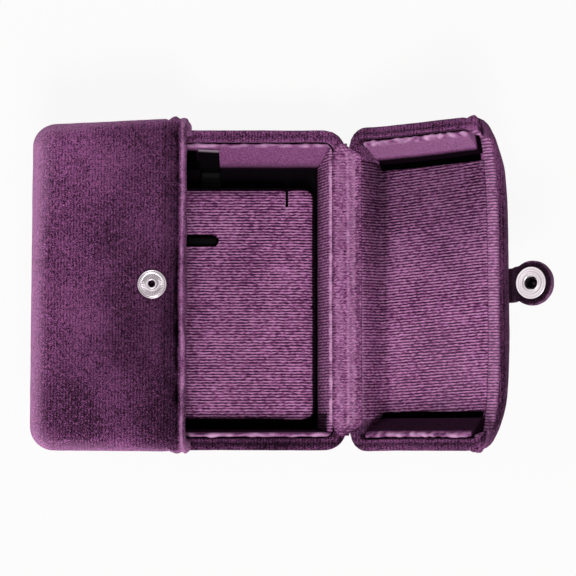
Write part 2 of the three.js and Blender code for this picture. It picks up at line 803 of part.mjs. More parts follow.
function hinges() {
  const group = new THREE.Group();
  const right = piece("right_hinge_cloth", hingeClothAt(THREE.MathUtils.degToRad(rightDoorOpening)), finish.ribbed);
  right.position.set(hingeHalfSpan, 0, baseHeight);
  const left = piece("left_hinge_cloth", hingeClothAt(0), finish.ribbed);
  left.position.set(-hingeHalfSpan, 0, baseHeight);
  left.rotation.z = Math.PI;
  group.add(left, right);
  return group;
}

const necklaceBox = new THREE.Group();
necklaceBox.add(base(), pad(), leftDoor(), rightDoor(), hinges());

export default necklaceBox;
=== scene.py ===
"""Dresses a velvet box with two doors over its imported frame, ready for the studio.

The box lies as in the frame: X across the doors, Y to the back, Z up, in metres. Pieces are
modelled in millimetres and scaled down when they are placed.
"""

import logging
import math
from dataclasses import dataclass, field
from enum import Enum
from typing import Callable, Dict, Iterable, List, Optional, Sequence, Tuple

import bmesh
import bpy
from mathutils import Matrix, Vector, noise


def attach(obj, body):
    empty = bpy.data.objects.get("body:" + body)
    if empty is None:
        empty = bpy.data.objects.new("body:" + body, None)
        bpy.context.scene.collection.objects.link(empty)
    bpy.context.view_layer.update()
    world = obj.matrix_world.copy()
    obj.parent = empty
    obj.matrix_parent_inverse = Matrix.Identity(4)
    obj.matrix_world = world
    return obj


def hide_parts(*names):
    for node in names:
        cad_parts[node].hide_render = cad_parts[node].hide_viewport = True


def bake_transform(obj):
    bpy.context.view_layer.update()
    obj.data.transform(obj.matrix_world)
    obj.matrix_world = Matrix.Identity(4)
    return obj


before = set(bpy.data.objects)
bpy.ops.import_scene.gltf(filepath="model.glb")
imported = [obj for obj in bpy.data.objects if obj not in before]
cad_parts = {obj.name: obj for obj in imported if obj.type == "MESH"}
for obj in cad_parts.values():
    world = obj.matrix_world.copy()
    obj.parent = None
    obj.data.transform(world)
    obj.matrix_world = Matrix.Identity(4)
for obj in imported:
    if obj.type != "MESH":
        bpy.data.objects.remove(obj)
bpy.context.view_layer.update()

LOG = logging.getLogger("velvet_box")
MM = 0.001
TO_METRES = Matrix.Scale(MM, 4)

# Sizes that the frame was built to, in millimetres
HINGE_HALF_SPAN = 49.7
BOX_HALF_DEPTH = 51.5
BASE_HEIGHT = 24.0
DOOR_HEIGHT = 17.5
DOOR_OPENING = 145.0
HINGE_PLAY = 0.3
MEETING_PLAY = 0.3
DOOR_LENGTH = HINGE_HALF_SPAN - MEETING_PLAY
BOARD = 3.8  # a velvet covered wall, both skins and the shell between them
HINGE_CLOTH_HALF = 44.0
HINGE_CLOTH_SEAT = 4.7  # how far in from the hinge side the rims dip for the cloth
STUD_FROM_MIDDLE = 11.5
SNAP_FROM_HINGE = HINGE_HALF_SPAN + STUD_FROM_MIDDLE
STUD_FROM_HINGE = HINGE_HALF_SPAN - STUD_FROM_MIDDLE
NECK_LINE = (DOOR_LENGTH + 0.9, 18.65)  # where the tab's neck bends, along the door and above its rim
HEAD_LINE = (SNAP_FROM_HINGE - 5.2, 20.2)  # where the tab's head bends
NECK_CURL = 69.5
HEAD_CURL = 72.5

NEAR = 1e-6  # points closer than this count as level, in millimetres
PILE_GLOSS = 0.12

Material = bpy.types.Material
Piece = bpy.types.Object
Socket = bpy.types.NodeSocket
Form = bmesh.types.BMesh
Move = Callable[[Vector, Vector], Vector]
Measure = Callable[[Vector], float]


class Side(Enum):
    """The two doors, by where their hinge is."""

    LEFT = "left"
    RIGHT = "right"

    @property
    def body(self) -> str:
        """The frame's body that this door is."""
        return f"{self.value}_door"

    @property
    def placement(self) -> Matrix:
        """From a door's own millimetres (along, depth, height above its rim) to the box's metres.

        Returns:
            The placement.
        """
        if self is Side.LEFT:
            return TO_METRES @ Matrix.Translation((-HINGE_HALF_SPAN, 0, BASE_HEIGHT))
        turn = Matrix.Rotation(math.radians(DOOR_OPENING), 4, "Y") @ Matrix.Rotation(math.pi, 4, "Z")
        return TO_METRES @ Matrix.Translation((HINGE_HALF_SPAN, 0, BASE_HEIGHT)) @ turn


def bent_about(line: Tuple[float, float], degrees: float) -> Matrix:
    """A turn about a line along the depth of a door.

    Args:
        line: where the line is, along the door and above its rim.
        degrees: the turn, inwards where it is positive.

    Returns:
        The turn, in a door's own millimetres.
    """
    there = Matrix.Translation((line[0], 0, line[1]))
    return there @ Matrix.Rotation(math.radians(degrees), 4, "Y") @ there.inverted()


def head_placement() -> Matrix:
    """From the shut tab's head, in the right door's millimetres, to where it stands in the box's metres."""
    return Side.RIGHT.placement @ bent_about(NECK_LINE, NECK_CURL) @ bent_about(HEAD_LINE, -HEAD_CURL)


class Ribs(Enum):
    """How the cords of the ribbed velvet lie, as a turn about Z in degrees."""

    STRAIGHT = 0.0
    RISING = 3.0


# Colour and nodes


def linear(hex_colour: str) -> Tuple[float, float, float, float]:
    """Turns an sRGB hex colour to linear.

    Args:
        hex_colour: six hex digits.

    Returns:
        Linear red, green, blue and an alpha of 1.
    """
    parts = [int(hex_colour[i:i + 2], 16) / 255 for i in (0, 2, 4)]
    flat = [c / 12.92 if c <= 0.04045 else ((c + 0.055) / 1.055) ** 2.4 for c in parts]
    return flat[0], flat[1], flat[2], 1.0


@dataclass
class NodeBoard:
    """The nodes of a material or of the sky, with one way to add a node to them.

    Args:
        name: the name of a new material.
        owner: what holds the nodes, where it isn't a new material.
    """

    name: str
    owner: Optional[bpy.types.ID] = None
    tree: bpy.types.NodeTree = field(init=False)

    def __post_init__(self) -> None:
        """Starts with no nodes."""
        if self.owner is None:
            self.owner = bpy.data.materials.new(self.name)
        self.owner.use_nodes = True
        self.tree = self.owner.node_tree
        self.tree.nodes.clear()

    def add(self, kind: str, settings: Optional[Dict[str, object]] = None, **links: object) -> bpy.types.Node:
        """Adds a node.

        Args:
            kind: the node's type name.
            settings: attributes of the node itself.
            **links: sockets by name with spaces as underscores, each a value or an output socket, or
                a list of them where several sockets share the name.

        Returns:
            The new node.
        """
        node = self.tree.nodes.new(kind)
        for key, value in (settings or {}).items():
            setattr(node, key, value)
        for key, value in links.items():
            label = key.replace("_", " ")
            sockets = [s for s in node.inputs if s.name == label and s.enabled]
            for socket, given in zip(sockets, value if isinstance(value, list) else [value]):
                if isinstance(given, Socket):
                    self.tree.links.new(given, socket)
                else:
                    socket.default_value = given
        return node

    def reckon(self, operation: str, first: Socket, second: object, clamp: bool = False) -> Socket:
        """The result of a sum, a product or another reckoning with two values."""
        node = self.add("ShaderNodeMath", {"operation": operation, "use_clamp": clamp}, Value=[first, second])
        return node.outputs[0]

    def times(self, value: Socket, factor: float) -> Socket:
        """A value multiplied by a number."""
        return self.reckon("MULTIPLY", value, factor)

    def plus(self, value: Socket, other: Socket) -> Socket:
        """Two values added."""
        return self.reckon("ADD", value, other)

    def span(self, value: Socket, old: Tuple[float, float], new: Tuple[float, float]) -> Socket:
        """Carries a value over from one range to another, which it doesn't leave.

        Args:
            value: what is carried over.
            old: the range that it comes from.
            new: the range that it ends in.

        Returns:
            The value in its new range.
        """
        return self.add(
            "ShaderNodeMapRange", Value=value, From_Min=old[0], From_Max=old[1], To_Min=new[0], To_Max=new[1],
        ).outputs[0]

    def here(self) -> Socket:
        """The piece's own coordinates."""
        return self.add("ShaderNodeTexCoord").outputs["Object"]

    def mottle(self, where: Socket, size_mm: float, detail: float, **more: float) -> Socket:
        """A noise whose features are about so many millimetres across."""
        scale = 1 / (size_mm * MM)
        return self.add("ShaderNodeTexNoise", Vector=where, Scale=scale, Detail=detail, **more).outputs["Fac"]

    def cords(self, where: Socket, direction: str, pitch_mm: float, **more: float) -> Socket:
        """Even bands, so many millimetres apart, that follow each other in one direction.

        Args:
            where: the coordinates that they follow.
            direction: X or Y.
            pitch_mm: from one band to the next.
            **more: the node's other sockets.

        Returns:
            Their height, from 0 to 1.
        """
        scale = 2 * math.pi / (20 * pitch_mm * MM)
        return self.add(
            "ShaderNodeTexWave", {"bands_direction": direction}, Vector=where, Scale=scale, **more,
        ).outputs["Fac"]

    def relief(self, height: Socket, strength: float, depth_mm: float) -> Socket:
        """The normals of a surface that a height makes uneven.

        Args:
            height: the height.
            strength: how much of it shows.
            depth_mm: what a height of 1 stands for.

        Returns:
            The normals.
        """
        return self.add(
            "ShaderNodeBump", Height=height, Strength=strength, Distance=depth_mm * MM,
        ).outputs["Normal"]

    def ramp(self, factor: Socket, stops: Sequence[Tuple[float, str]]) -> Socket:
        """Adds a colour ramp.

        Args:
            factor: what runs along the ramp.
            stops: position and hex colour of each stop.

        Returns:
            The ramp's colour output.
        """
        node = self.add("ShaderNodeValToRGB", Fac=factor)
        elements = node.color_ramp.elements
        while len(elements) < len(stops):
            elements.new(0.5)
        for element, (place, colour) in zip(elements, stops):
            element.position = place
            element.color = linear(colour)
        return node.outputs["Color"]

    def mixed(self, share: Socket, colour: Socket, other: str) -> Socket:
        """A colour that gives way to another one."""
        return self.add("ShaderNodeMixRGB", Fac=share, Color1=colour, Color2=linear(other)).outputs["Color"]

    def napped(
        self, colour: Socket, pale: str, dark: str = "040304", tufts: Optional[Socket] = None,
    ) -> Tuple[Socket, Socket]:
        """Paints sheen and shade into a surface's colour by the piece's own painted light marks.

        Args:
            colour: the plain surface's colour.
            pale: the painted sheen colour, where a mark is 1.
            dark: the painted shade colour, where a mark is -1.
            tufts: a noise round 0.5 that breaks the pale part up.

        Returns:
            The colour, and how much sheen is left.
        """
        # Painted light: above 0 the painted sheen colour is mixed in, below 0 the painted shade colour.
        fold = self.add("ShaderNodeAttribute", {"attribute_name": "fold"}).outputs["Fac"]
        painted_sheen_share = fold
        if tufts is not None:
            painted_sheen_share = self.reckon("MULTIPLY", self.span(tufts, (0.4, 0.66), (0.45, 1.5)), fold, clamp=True)
        painted_shade_share = self.span(fold, (0, -1), (0, 1))
        shaded = self.mixed(painted_shade_share, self.mixed(painted_sheen_share, colour, pale), dark)
        return shaded, self.span(painted_shade_share, (0, 1), (1, 0))

    def seen_plainly(self) -> Socket:
        """1 for what is seen straight, mirrored or through something, and 0 for scattered light.

        Returns:
            The share.
        """
        path = self.add("ShaderNodeLightPath").outputs
        seen = self.reckon("MAXIMUM", path["Is Camera Ray"], path["Is Glossy Ray"])
        return self.reckon("MAXIMUM", seen, path["Is Transmission Ray"])

    def finished(self, **sockets: object) -> Material:
        """Ends the material in its shader.

        Args:
            **sockets: the shader's sockets, as for any node.

        Returns:
            The material.
        """
        shader = self.add("ShaderNodeBsdfPrincipled", **sockets)
        self.add("ShaderNodeOutputMaterial", Surface=shader.outputs[0])
        return self.owner

    def piled(self, napped: Tuple[Socket, Socket], sheen: float, tint: str, **sockets: object) -> Material:
        """Ends a cloth with a pile, whose sheen and gloss fade out where painted shade is marked.

        Args:
            napped: the colour, and how much sheen is left.
            sheen: the sheen in the open.
            tint: the sheen's colour.
            **sockets: the shader's other sockets.

        Returns:
            The material.
        """
        colour, left = napped
        return self.finished(
            Base_Color=colour, Sheen_Weight=self.times(left, sheen), Sheen_Tint=linear(tint),
            Specular_IOR_Level=self.times(left, PILE_GLOSS), **sockets,
        )


# Finishes


@dataclass(frozen=True)
class CutVelvet:
    """Short-pile polyester velvet, glued over board.

    Its pile leans in small tufts, so the eye gets a mottled surface of dark and light specks, a faint
    upright grain from the backing, a painted sheen where the surface turns away or creases, and painted shade
    in hollows.
    """

    name: str = "cut_velvet"
    deep: str = "1e0919"
    middle: str = "51224b"
    raised: str = "b067a3"
    # The shader's sheen tint, and the colour of the painted sheen.
    bloom: str = "cd8cc1"
    tuft_mm: float = 0.52
    patch_mm: float = 18.0
    grain_mm: float = 0.95
    lean: float = 0.015
    sheen: float = 0.8

    def build(self) -> Material:
        """Makes the material.

        Returns:
            The finished material.
        """
        board = NodeBoard(self.name)
        where = board.here()
        tuft = board.mottle(where, self.tuft_mm, 1.0, Distortion=2.2)
        grain = board.cords(where, "X", self.grain_mm, Distortion=1.2, Detail=2.0, Detail_Scale=0.8)
        speckle = board.plus(tuft, board.times(grain, 0.07))
        drift = board.span(board.mottle(where, self.patch_mm, 1.0), (0.3, 0.7), (-0.05, 0.05))
        depth = board.add("ShaderNodeSeparateXYZ", Vector=where).outputs["Y"]
        # The colour is a little paler towards the back of the box and darker towards the front.
        lean = board.span(depth, (-0.05, 0.05), (-self.lean, self.lean))
        shade = board.plus(board.plus(speckle, drift), lean)
        colour = board.ramp(shade, [(0.43, self.deep), (0.535, self.middle), (0.625, self.raised)])
        # The piece's marks paint sheen and shade into the colour.
        return board.piled(
            board.napped(colour, self.bloom, tufts=tuft), self.sheen, self.bloom, Sheen_Roughness=0.35,
            Roughness=0.9, Normal=board.relief(speckle, 0.9, 0.4),
        )


@dataclass(frozen=True)
class RibbedVelvet:
    """Fine-wale ribbed velvet, woven in cords under a millimetre apart.

    Each cord has a painted highlight on its back and painted shade in its furrow, and its pile breaks the
    line into short dashes, so the eye gets rows of pale stitches on plum.
    """

    name: str = "ribbed_velvet"
    furrow: str = "361230"
    body: str = "834577"
    back: str = "d08fc3"
    ribs: Ribs = Ribs.STRAIGHT
    wear: float = 0.25
    pitch_mm: float = 0.93
    dash_mm: float = 0.95
    patch_mm: float = 14.0
    relief_mm: float = 0.22

    def build(self) -> Material:
        """Makes the material.

        Returns:
            The finished material.
        """
        board = NodeBoard(self.name)
        where = board.here()
        turn = (0, 0, math.radians(-self.ribs.value))
        along = board.add("ShaderNodeMapping", Vector=where, Rotation=turn).outputs["Vector"]
        cord = board.cords(along, "Y", self.pitch_mm, Distortion=1.0, Detail=2.0, Detail_Scale=1.6)
        worn = board.span(cord, (0, 1), (0.5 * self.wear, 1 - 0.5 * self.wear))
        stretched = board.add("ShaderNodeMapping", Vector=along, Scale=(0.34, 1.0, 0.34)).outputs["Vector"]
        dash = board.mottle(stretched, self.dash_mm * 0.5, 2.0, Roughness=0.6)
        height = board.plus(worn, board.span(dash, (0.3, 0.7), (-0.42, 0.42)))
        drift = board.span(board.mottle(where, self.patch_mm, 3.0), (0, 1), (-0.26, 0.26))
        # The furrow, body and back colours paint each cord's shade and highlight.
        stops = [(0.12, self.furrow), (0.5, self.body), (0.94, self.back)]
        colour = board.ramp(board.plus(height, drift), stops)
        # cf98c4 is the painted sheen colour for the marks.
        return board.piled(
            board.napped(colour, "cf98c4"), 0.35, "c58abb", Sheen_Roughness=0.4,
            Roughness=0.85, Normal=board.relief(height, 0.8, self.relief_mm),
        )


@dataclass(frozen=True)
class PlainVelveteen:
    """Smooth velveteen, brushed flat over wadding.

    The pile is too short to show tufts, so the eye gets an even soft plum with a fine grit.
    """

    name: str = "plain_velveteen"
    shade: str = "5e2c56"
    light: str = "a6669b"
    grit_mm: float = 0.4

    def build(self) -> Material:
        """Makes the material.

        Returns:
            The finished material.
        """
        board = NodeBoard(self.name)
        grit = board.mottle(board.here(), self.grit_mm, 2.0)
        colour = board.ramp(grit, [(0.3, self.shade), (0.7, self.light)])
        # d9a6cf is the painted sheen colour for the marks.
        return board.piled(
            board.napped(colour, "d9a6cf"), 0.3, "c58abb", Sheen_Roughness=0.5,
            Roughness=0.8, Normal=board.relief(grit, 0.25, 0.1),
        )


@dataclass(frozen=True)
class NickelPlate:
    """Bright nickel over stamped brass.

    The press leaves it smooth and the plating keeps it pale, with faint hairlines from tumbling.
    """

    name: str = "nickel_plate"
    colour: str = "c9c0c5"
    roughness: float = 0.3
    hairline_mm: float = 0.12

    def build(self) -> Material:
        """Makes the material.

        Returns:
            The finished material.
        """
        board = NodeBoard(self.name)
        hair = board.mottle(board.here(), self.hairline_mm, 2.0)
        tone = board.ramp(hair, [(0.2, "b5acb1"), (0.8, self.colour)])
        # f0ecee is a painted highlight colour and 1d171b the painted shade colour for the marks.
        return board.finished(
            Base_Color=board.napped(tone, "f0ecee", "1d171b")[0], Metallic=1.0,
            Roughness=board.span(hair, (0, 1), (self.roughness - 0.07, self.roughness + 0.1)),
            Normal=board.relief(hair, 0.12, 0.02),
        )


@dataclass(frozen=True)
class BlackSatin:
    """Black polyester satin ribbon.

    Its floats lie along the ribbon, so the eye gets a near-black with a thin cool glint.
    """

    name: str = "black_satin"
    thread_mm: float = 0.25

    def build(self) -> Material:
        """Makes the material.

        Returns:
            The finished material.
        """
        board = NodeBoard(self.name)
        thread = board.cords(board.here(), "X", self.thread_mm, Distortion=0.5)
        tone = board.ramp(thread, [(0.0, "040304"), (1.0, "0b080b")])
        # b9a3b4 is the painted glint on the cut end; the default near black is painted shade at the foot.
        return board.finished(
            Base_Color=board.napped(tone, "b9a3b4")[0], Roughness=0.5, Specular_IOR_Level=0.04,
            Normal=board.relief(thread, 0.2, 0.03),
        )


@dataclass(frozen=True)
class PressedBoard:
    """Pressed board under the pad, near black partly as painted shade for the deep gap round it, with a fine
    dull grit.
    """

    name: str = "grey_board"
    colour: str = "120c12"
    grit_mm: float = 0.5

    def build(self) -> Material:
        """Makes the material.

        Returns:
            The finished material.
        """
        board = NodeBoard(self.name)
        grit = board.mottle(board.here(), self.grit_mm, 3.0)
        # The near-black colours are partly painted shade for the gap round the pad.
        return board.finished(
            Base_Color=board.ramp(grit, [(0.25, "060406"), (0.75, self.colour)]), Roughness=0.8,
            Specular_IOR_Level=0.02, Normal=board.relief(grit, 0.3, 0.1),
        )


@dataclass
class Wardrobe:
    """The box's finishes, each built once."""

    velvet: Material = field(default_factory=CutVelvet().build)
    ribbed: Material = field(default_factory=RibbedVelvet().build)
    ribbed_rising: Material = field(
        default_factory=RibbedVelvet("ribbed_velvet_rising", ribs=Ribs.RISING).build)
    crushed: Material = field(
        default_factory=RibbedVelvet("crushed_ribbed_velvet", wear=0.75, dash_mm=0.7).build)
    # A darker copy of the cut velvet with less sheen: painted shade for the tab.
    dark_velvet: Material = field(
        default_factory=CutVelvet("tab_velvet", "10050e", "281024", "512a4a", sheen=0.25).build)
    velveteen: Material = field(default_factory=PlainVelveteen().build)
    nickel: Material = field(default_factory=NickelPlate().build)
    satin: Material = field(default_factory=BlackSatin().build)
    board: Material = field(default_factory=PressedBoard().build)


# Modelling


def hump(x: float, middle: float, reach: float) -> float:
    """A smooth hump of height 1 at the middle that fades over the reach."""
    return math.exp(-((x - middle) / reach) ** 2)


def slope(x: float, start: float, end: float) -> float:
    """A smooth step from 0 at the start to 1 at the end."""
    t = min(1.0, max(0.0, (x - start) / (end - start)))
    return t * t * (3 - 2 * t)


def under_hinge_cloth(place: Vector, inward: float) -> float:
    """1 where a hinge cloth lies on a rim, fading out past its ends and its inner edge."""
    along = 1 - slope(abs(place.y), HINGE_CLOTH_HALF - 0.8, HINGE_CLOTH_HALF + 1.4)
    return along * slope(inward, 0.0, 0.6)


def ripple(place: Vector, size_mm: float, seed: float = 0.0) -> float:
    """Smooth random height from -1 to 1 whose features are about so many millimetres across."""
    return noise.noise(Vector((place.x / size_mm + seed, place.y / size_mm - seed, place.z / size_mm)))


def block(size: Sequence[float], middle: Sequence[float], bm: Optional[Form] = None) -> Form:
    """A plain block of some size round its middle, in millimetres, new or added to a form.

    Args:
        size: its size along X, Y and Z.
        middle: where its middle is.
        bm: the form that it is added to, or None for a new one.

    Returns:
        The form.
    """
    bm = bmesh.new() if bm is None else bm
    corners = bmesh.ops.create_cube(bm, size=1.0)["verts"]
    bmesh.ops.scale(bm, vec=size, verts=corners)
    bmesh.ops.translate(bm, vec=middle, verts=corners)
    return bm


def disc(radius: float, depth: float, along: float, segments: int) -> Form:
    """An upright disc or pin with its axis so far along, in millimetres.

    Args:
        radius: its radius.
        depth: its height.
        along: where its axis is along X.
        segments: faces round it.

    Returns:
        The disc.
    """
    bm = bmesh.new()
    bmesh.ops.create_cone(bm, cap_ends=True, segments=segments, radius1=radius, radius2=radius, depth=depth)
    bmesh.ops.translate(bm, vec=(along, 0, 0), verts=bm.verts)
    return bm


def rounded_edges(bm: Form, radius: float, steps: int, chosen: Callable[[Vector, Vector], bool]) -> None:
    """Rounds some edges of a form.

    Args:
        bm: the form.
        radius: the round's radius, in millimetres.
        steps: segments of the round.
        chosen: whether an edge with these two ends is rounded.
    """
    edges = [e for e in bm.edges if chosen(e.verts[0].co, e.verts[1].co)]
    bmesh.ops.bevel(
        bm, geom=edges, offset=radius, offset_type="OFFSET", segments=steps, profile=0.5,
        affect="EDGES", material=-1, clamp_overlap=False,
    )


def rounded_block(
    low: Sequence[float], high: Sequence[float], corner: float, edge: float, steps: int,
) -> Form:
    """A block with round upright corners and a round upper edge.

    Args:
        low: lowest corner, in millimetres.
        high: highest corner, in millimetres.
        corner: radius of the upright corners.
        edge: radius of the upper edge, or 0.
        steps: segments of each bevel.

    Returns:
        The block, closed.
    """
    bm = block(Vector(high) - Vector(low), (Vector(high) + Vector(low)) / 2)
    rounded_edges(bm, corner, steps, lambda a, b: abs(a.z - b.z) > NEAR)
    if edge > 0:
        rounded_edges(bm, edge, steps, lambda a, b: all(abs(v.z - high[2]) < NEAR for v in (a, b)))
    return bm


def threaded(
    points: Sequence[Sequence[float]],
) -> Tuple[Form, List[bmesh.types.BMVert], List[bmesh.types.BMEdge]]:
    """A new form that holds an open line through some points, with its points and its edges.

    Args:
        points: the line's points, in millimetres.

    Returns:
        The form, its points and its edges.
    """
    bm = bmesh.new()
    row = [bm.verts.new(point) for point in points]
    return bm, row, [bm.edges.new(pair) for pair in zip(row, row[1:])]


def pushed_out(bm: Form, made: Dict[str, list], reach: Sequence[float]) -> None:
    """Moves the new points of an extrusion by the reach."""
    bmesh.ops.translate(bm, vec=reach, verts=[v for v in made["geom"] if isinstance(v, bmesh.types.BMVert)])


def ruled(points: Sequence[Sequence[float]], reach: Sequence[float]) -> Form:
    """A strip, one face across, from a line of points to the same line moved by the reach.

    Args:
        points: the line's points, in millimetres.
        reach: how far the line is moved.

    Returns:
        The strip.
    """
    bm, _, edges = threaded(points)
    pushed_out(bm, bmesh.ops.extrude_edge_only(bm, edges=edges), reach)
    return bm


def cut_away(bm: Form, point: Sequence[float], normal: Sequence[float]) -> None:
    """Cuts everything on the normal's side of a plane away, and leaves the cut open."""
    geometry = list(bm.verts) + list(bm.edges) + list(bm.faces)
    bmesh.ops.bisect_plane(bm, geom=geometry, plane_co=point, plane_no=normal, clear_outer=True)


def into_object(bm: Form, name: str) -> Piece:
    """Makes an object of a bmesh.

    Args:
        bm: the mesh, which is freed.
        name: the piece's name.

    Returns:
        The object, at the origin.
    """
    mesh = bpy.data.meshes.new(name)
    bm.to_mesh(mesh)
    bm.free()
    mesh.shade_smooth()
    piece = bpy.data.objects.new(name, mesh)
    bpy.context.scene.collection.objects.link(piece)
    return piece


def settled(piece: Piece) -> None:
    """Applies a piece's modifiers and keeps the result as its mesh.

    Args:
        piece: the piece.
    """
    graph = bpy.context.evaluated_depsgraph_get()
    made = bpy.data.meshes.new_from_object(piece.evaluated_get(graph))
    piece.modifiers.clear()
    worn = piece.data
    piece.data = made
    bpy.data.meshes.remove(worn)
    made.name = piece.name


def thickened(piece: Piece, thickness: float, offset: float = 0.0, even: bool = False) -> None:
    """Gives a skin its thickness, to both sides, or all of it inwards where the offset is -1.

    Args:
        piece: the piece.
        thickness: its thickness in millimetres.
        offset: 0 for both sides, or -1 for all of it inwards.
        even: whether it stays as thick at bends.
    """
    skin = piece.modifiers.new("thickness", "SOLIDIFY")
    skin.thickness = thickness
    skin.offset = offset
    skin.use_even_offset = even
    settled(piece)


def even_faces(piece: Piece, voxel: float, passes: int) -> None:
    """Rebuilds a piece in small even faces and eases its edges, as cloth drawn over a board does.

    Args:
        piece: the piece, still in millimetres.
        voxel: size of a face in millimetres.
        passes: smoothing passes.
    """
    remesh = piece.modifiers.new("even_faces", "REMESH")
    remesh.mode = "VOXEL"
    remesh.voxel_size = voxel
    settled(piece)
    bm = bmesh.new()
    bm.from_mesh(piece.data)
    for _ in range(passes):
        bmesh.ops.smooth_vert(
            bm, verts=bm.verts, factor=0.5, use_axis_x=True, use_axis_y=True, use_axis_z=True,
        )
    bm.to_mesh(piece.data)
    bm.free()
    piece.data.shade_smooth()


def sculpt(piece: Piece, move: Move, pale: Optional[Measure] = None) -> None:
    """Moves each point of a piece, and marks the painted light on it.

    Args:
        piece: the piece, still in millimetres.
        move: from a point and its normal to how far it moves.
        pale: from a point to its painted light mark there, painted sheen up to 1 and painted shade down to
            -1.
    """
    mesh = piece.data
    moved = []
    shades = []
    for vertex in mesh.vertices:
        place = vertex.co.copy()
        moved.append(place + move(place, vertex.normal.copy()))
        shades.append(pale(place) if pale else 0.0)
    for vertex, place in zip(mesh.vertices, moved):
        vertex.co = place
    # The painted light marks: painted sheen above 0, painted shade below 0.
    attribute = mesh.attributes.new("fold", "FLOAT", "POINT")
    attribute.data.foreach_set("value", shades)
    mesh.update()


def take_away(piece: Piece, bm: Form) -> None:
    """Cuts a closed form out of a piece.

    Args:
        piece: the piece, still in millimetres.
        bm: the form, which is freed.
    """
    tool = into_object(bm, "cutter")
    cutter = piece.modifiers.new("cut", "BOOLEAN")
    cutter.operation = "DIFFERENCE"
    cutter.solver = "EXACT"
    cutter.object = tool
    settled(piece)
    bpy.data.objects.remove(tool)
    piece.data.shade_smooth()


def copy_of(node: str, name: str, back: Matrix) -> Piece:
    """A merged copy of a frame solid, in its own millimetres, to be padded.

    Args:
        node: the solid's name.
        name: the new piece's name.
        back: from the box's metres to the piece's own millimetres.

    Returns:
        The copy.
    """
    bm = bmesh.new()
    bm.from_mesh(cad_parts[node].data)
    bm.transform(back)
    bmesh.ops.remove_doubles(bm, verts=bm.verts, dist=0.002)
    return into_object(bm, name)


@dataclass
class Dresser:
    """Args:
        wardrobe: the finishes.
    """

    wardrobe: Wardrobe

    def place(
        self, piece: Piece, placement: Matrix, material: Material, slot: str,
        body: Optional[str] = None, stands_for: Iterable[str] = (),
    ) -> Piece:
        """Puts a piece in the box's metres and gives it its finish.

        Args:
            piece: the piece, in its own millimetres.
            placement: from those to the box's metres.
            material: its finish.
            slot: the slot of that finish; not used.
            body: the body it rides on, or None.
            stands_for: the frame solids that it replaces.

        Returns:
            The piece.
        """
        piece.data.transform(placement)
        piece.data.update()
        piece.data.materials.clear()
        piece.data.materials.append(material)
        if body:
            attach(piece, body)
        solids = list(stands_for)
        if solids:
            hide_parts(*solids)
        LOG.info("%s: %d faces", piece.name, len(piece.data.polygons))
        return piece

    def pad_out(
        self, node: str, name: str, placement: Matrix, faces: Tuple[float, int], marks: Tuple[Move, Measure],
        finish: Tuple[Material, str], body: str, fill: float,
    ) -> None:
        """Makes a padded piece of a frame solid.

        Args:
            node: the solid that it is made of and replaces.
            name: the piece's name.
            placement: from its own millimetres to the box's metres.
            faces: size of a face in millimetres, and smoothing passes.
            marks: how its points move, and its painted light marks.
            finish: the material, and the name of its slot.
            body: the body it rides on.
            fill: how full its padding is, up to 1; not used.
        """
        piece = copy_of(node, name, placement.inverted())
        even_faces(piece, *faces)
        sculpt(piece, *marks)
        self.place(piece, placement, *finish, body, (node,))

    def dress_solid(self, node: str, material: Material) -> None:
        """Gives a frame solid that stays in view its finish.

        Args:
            node: the solid's name.
            material: its finish.
        """
        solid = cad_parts[node]
        solid.data.materials.clear()
        solid.data.materials.append(material)
        LOG.info("%s keeps its own shape", node)


# The base


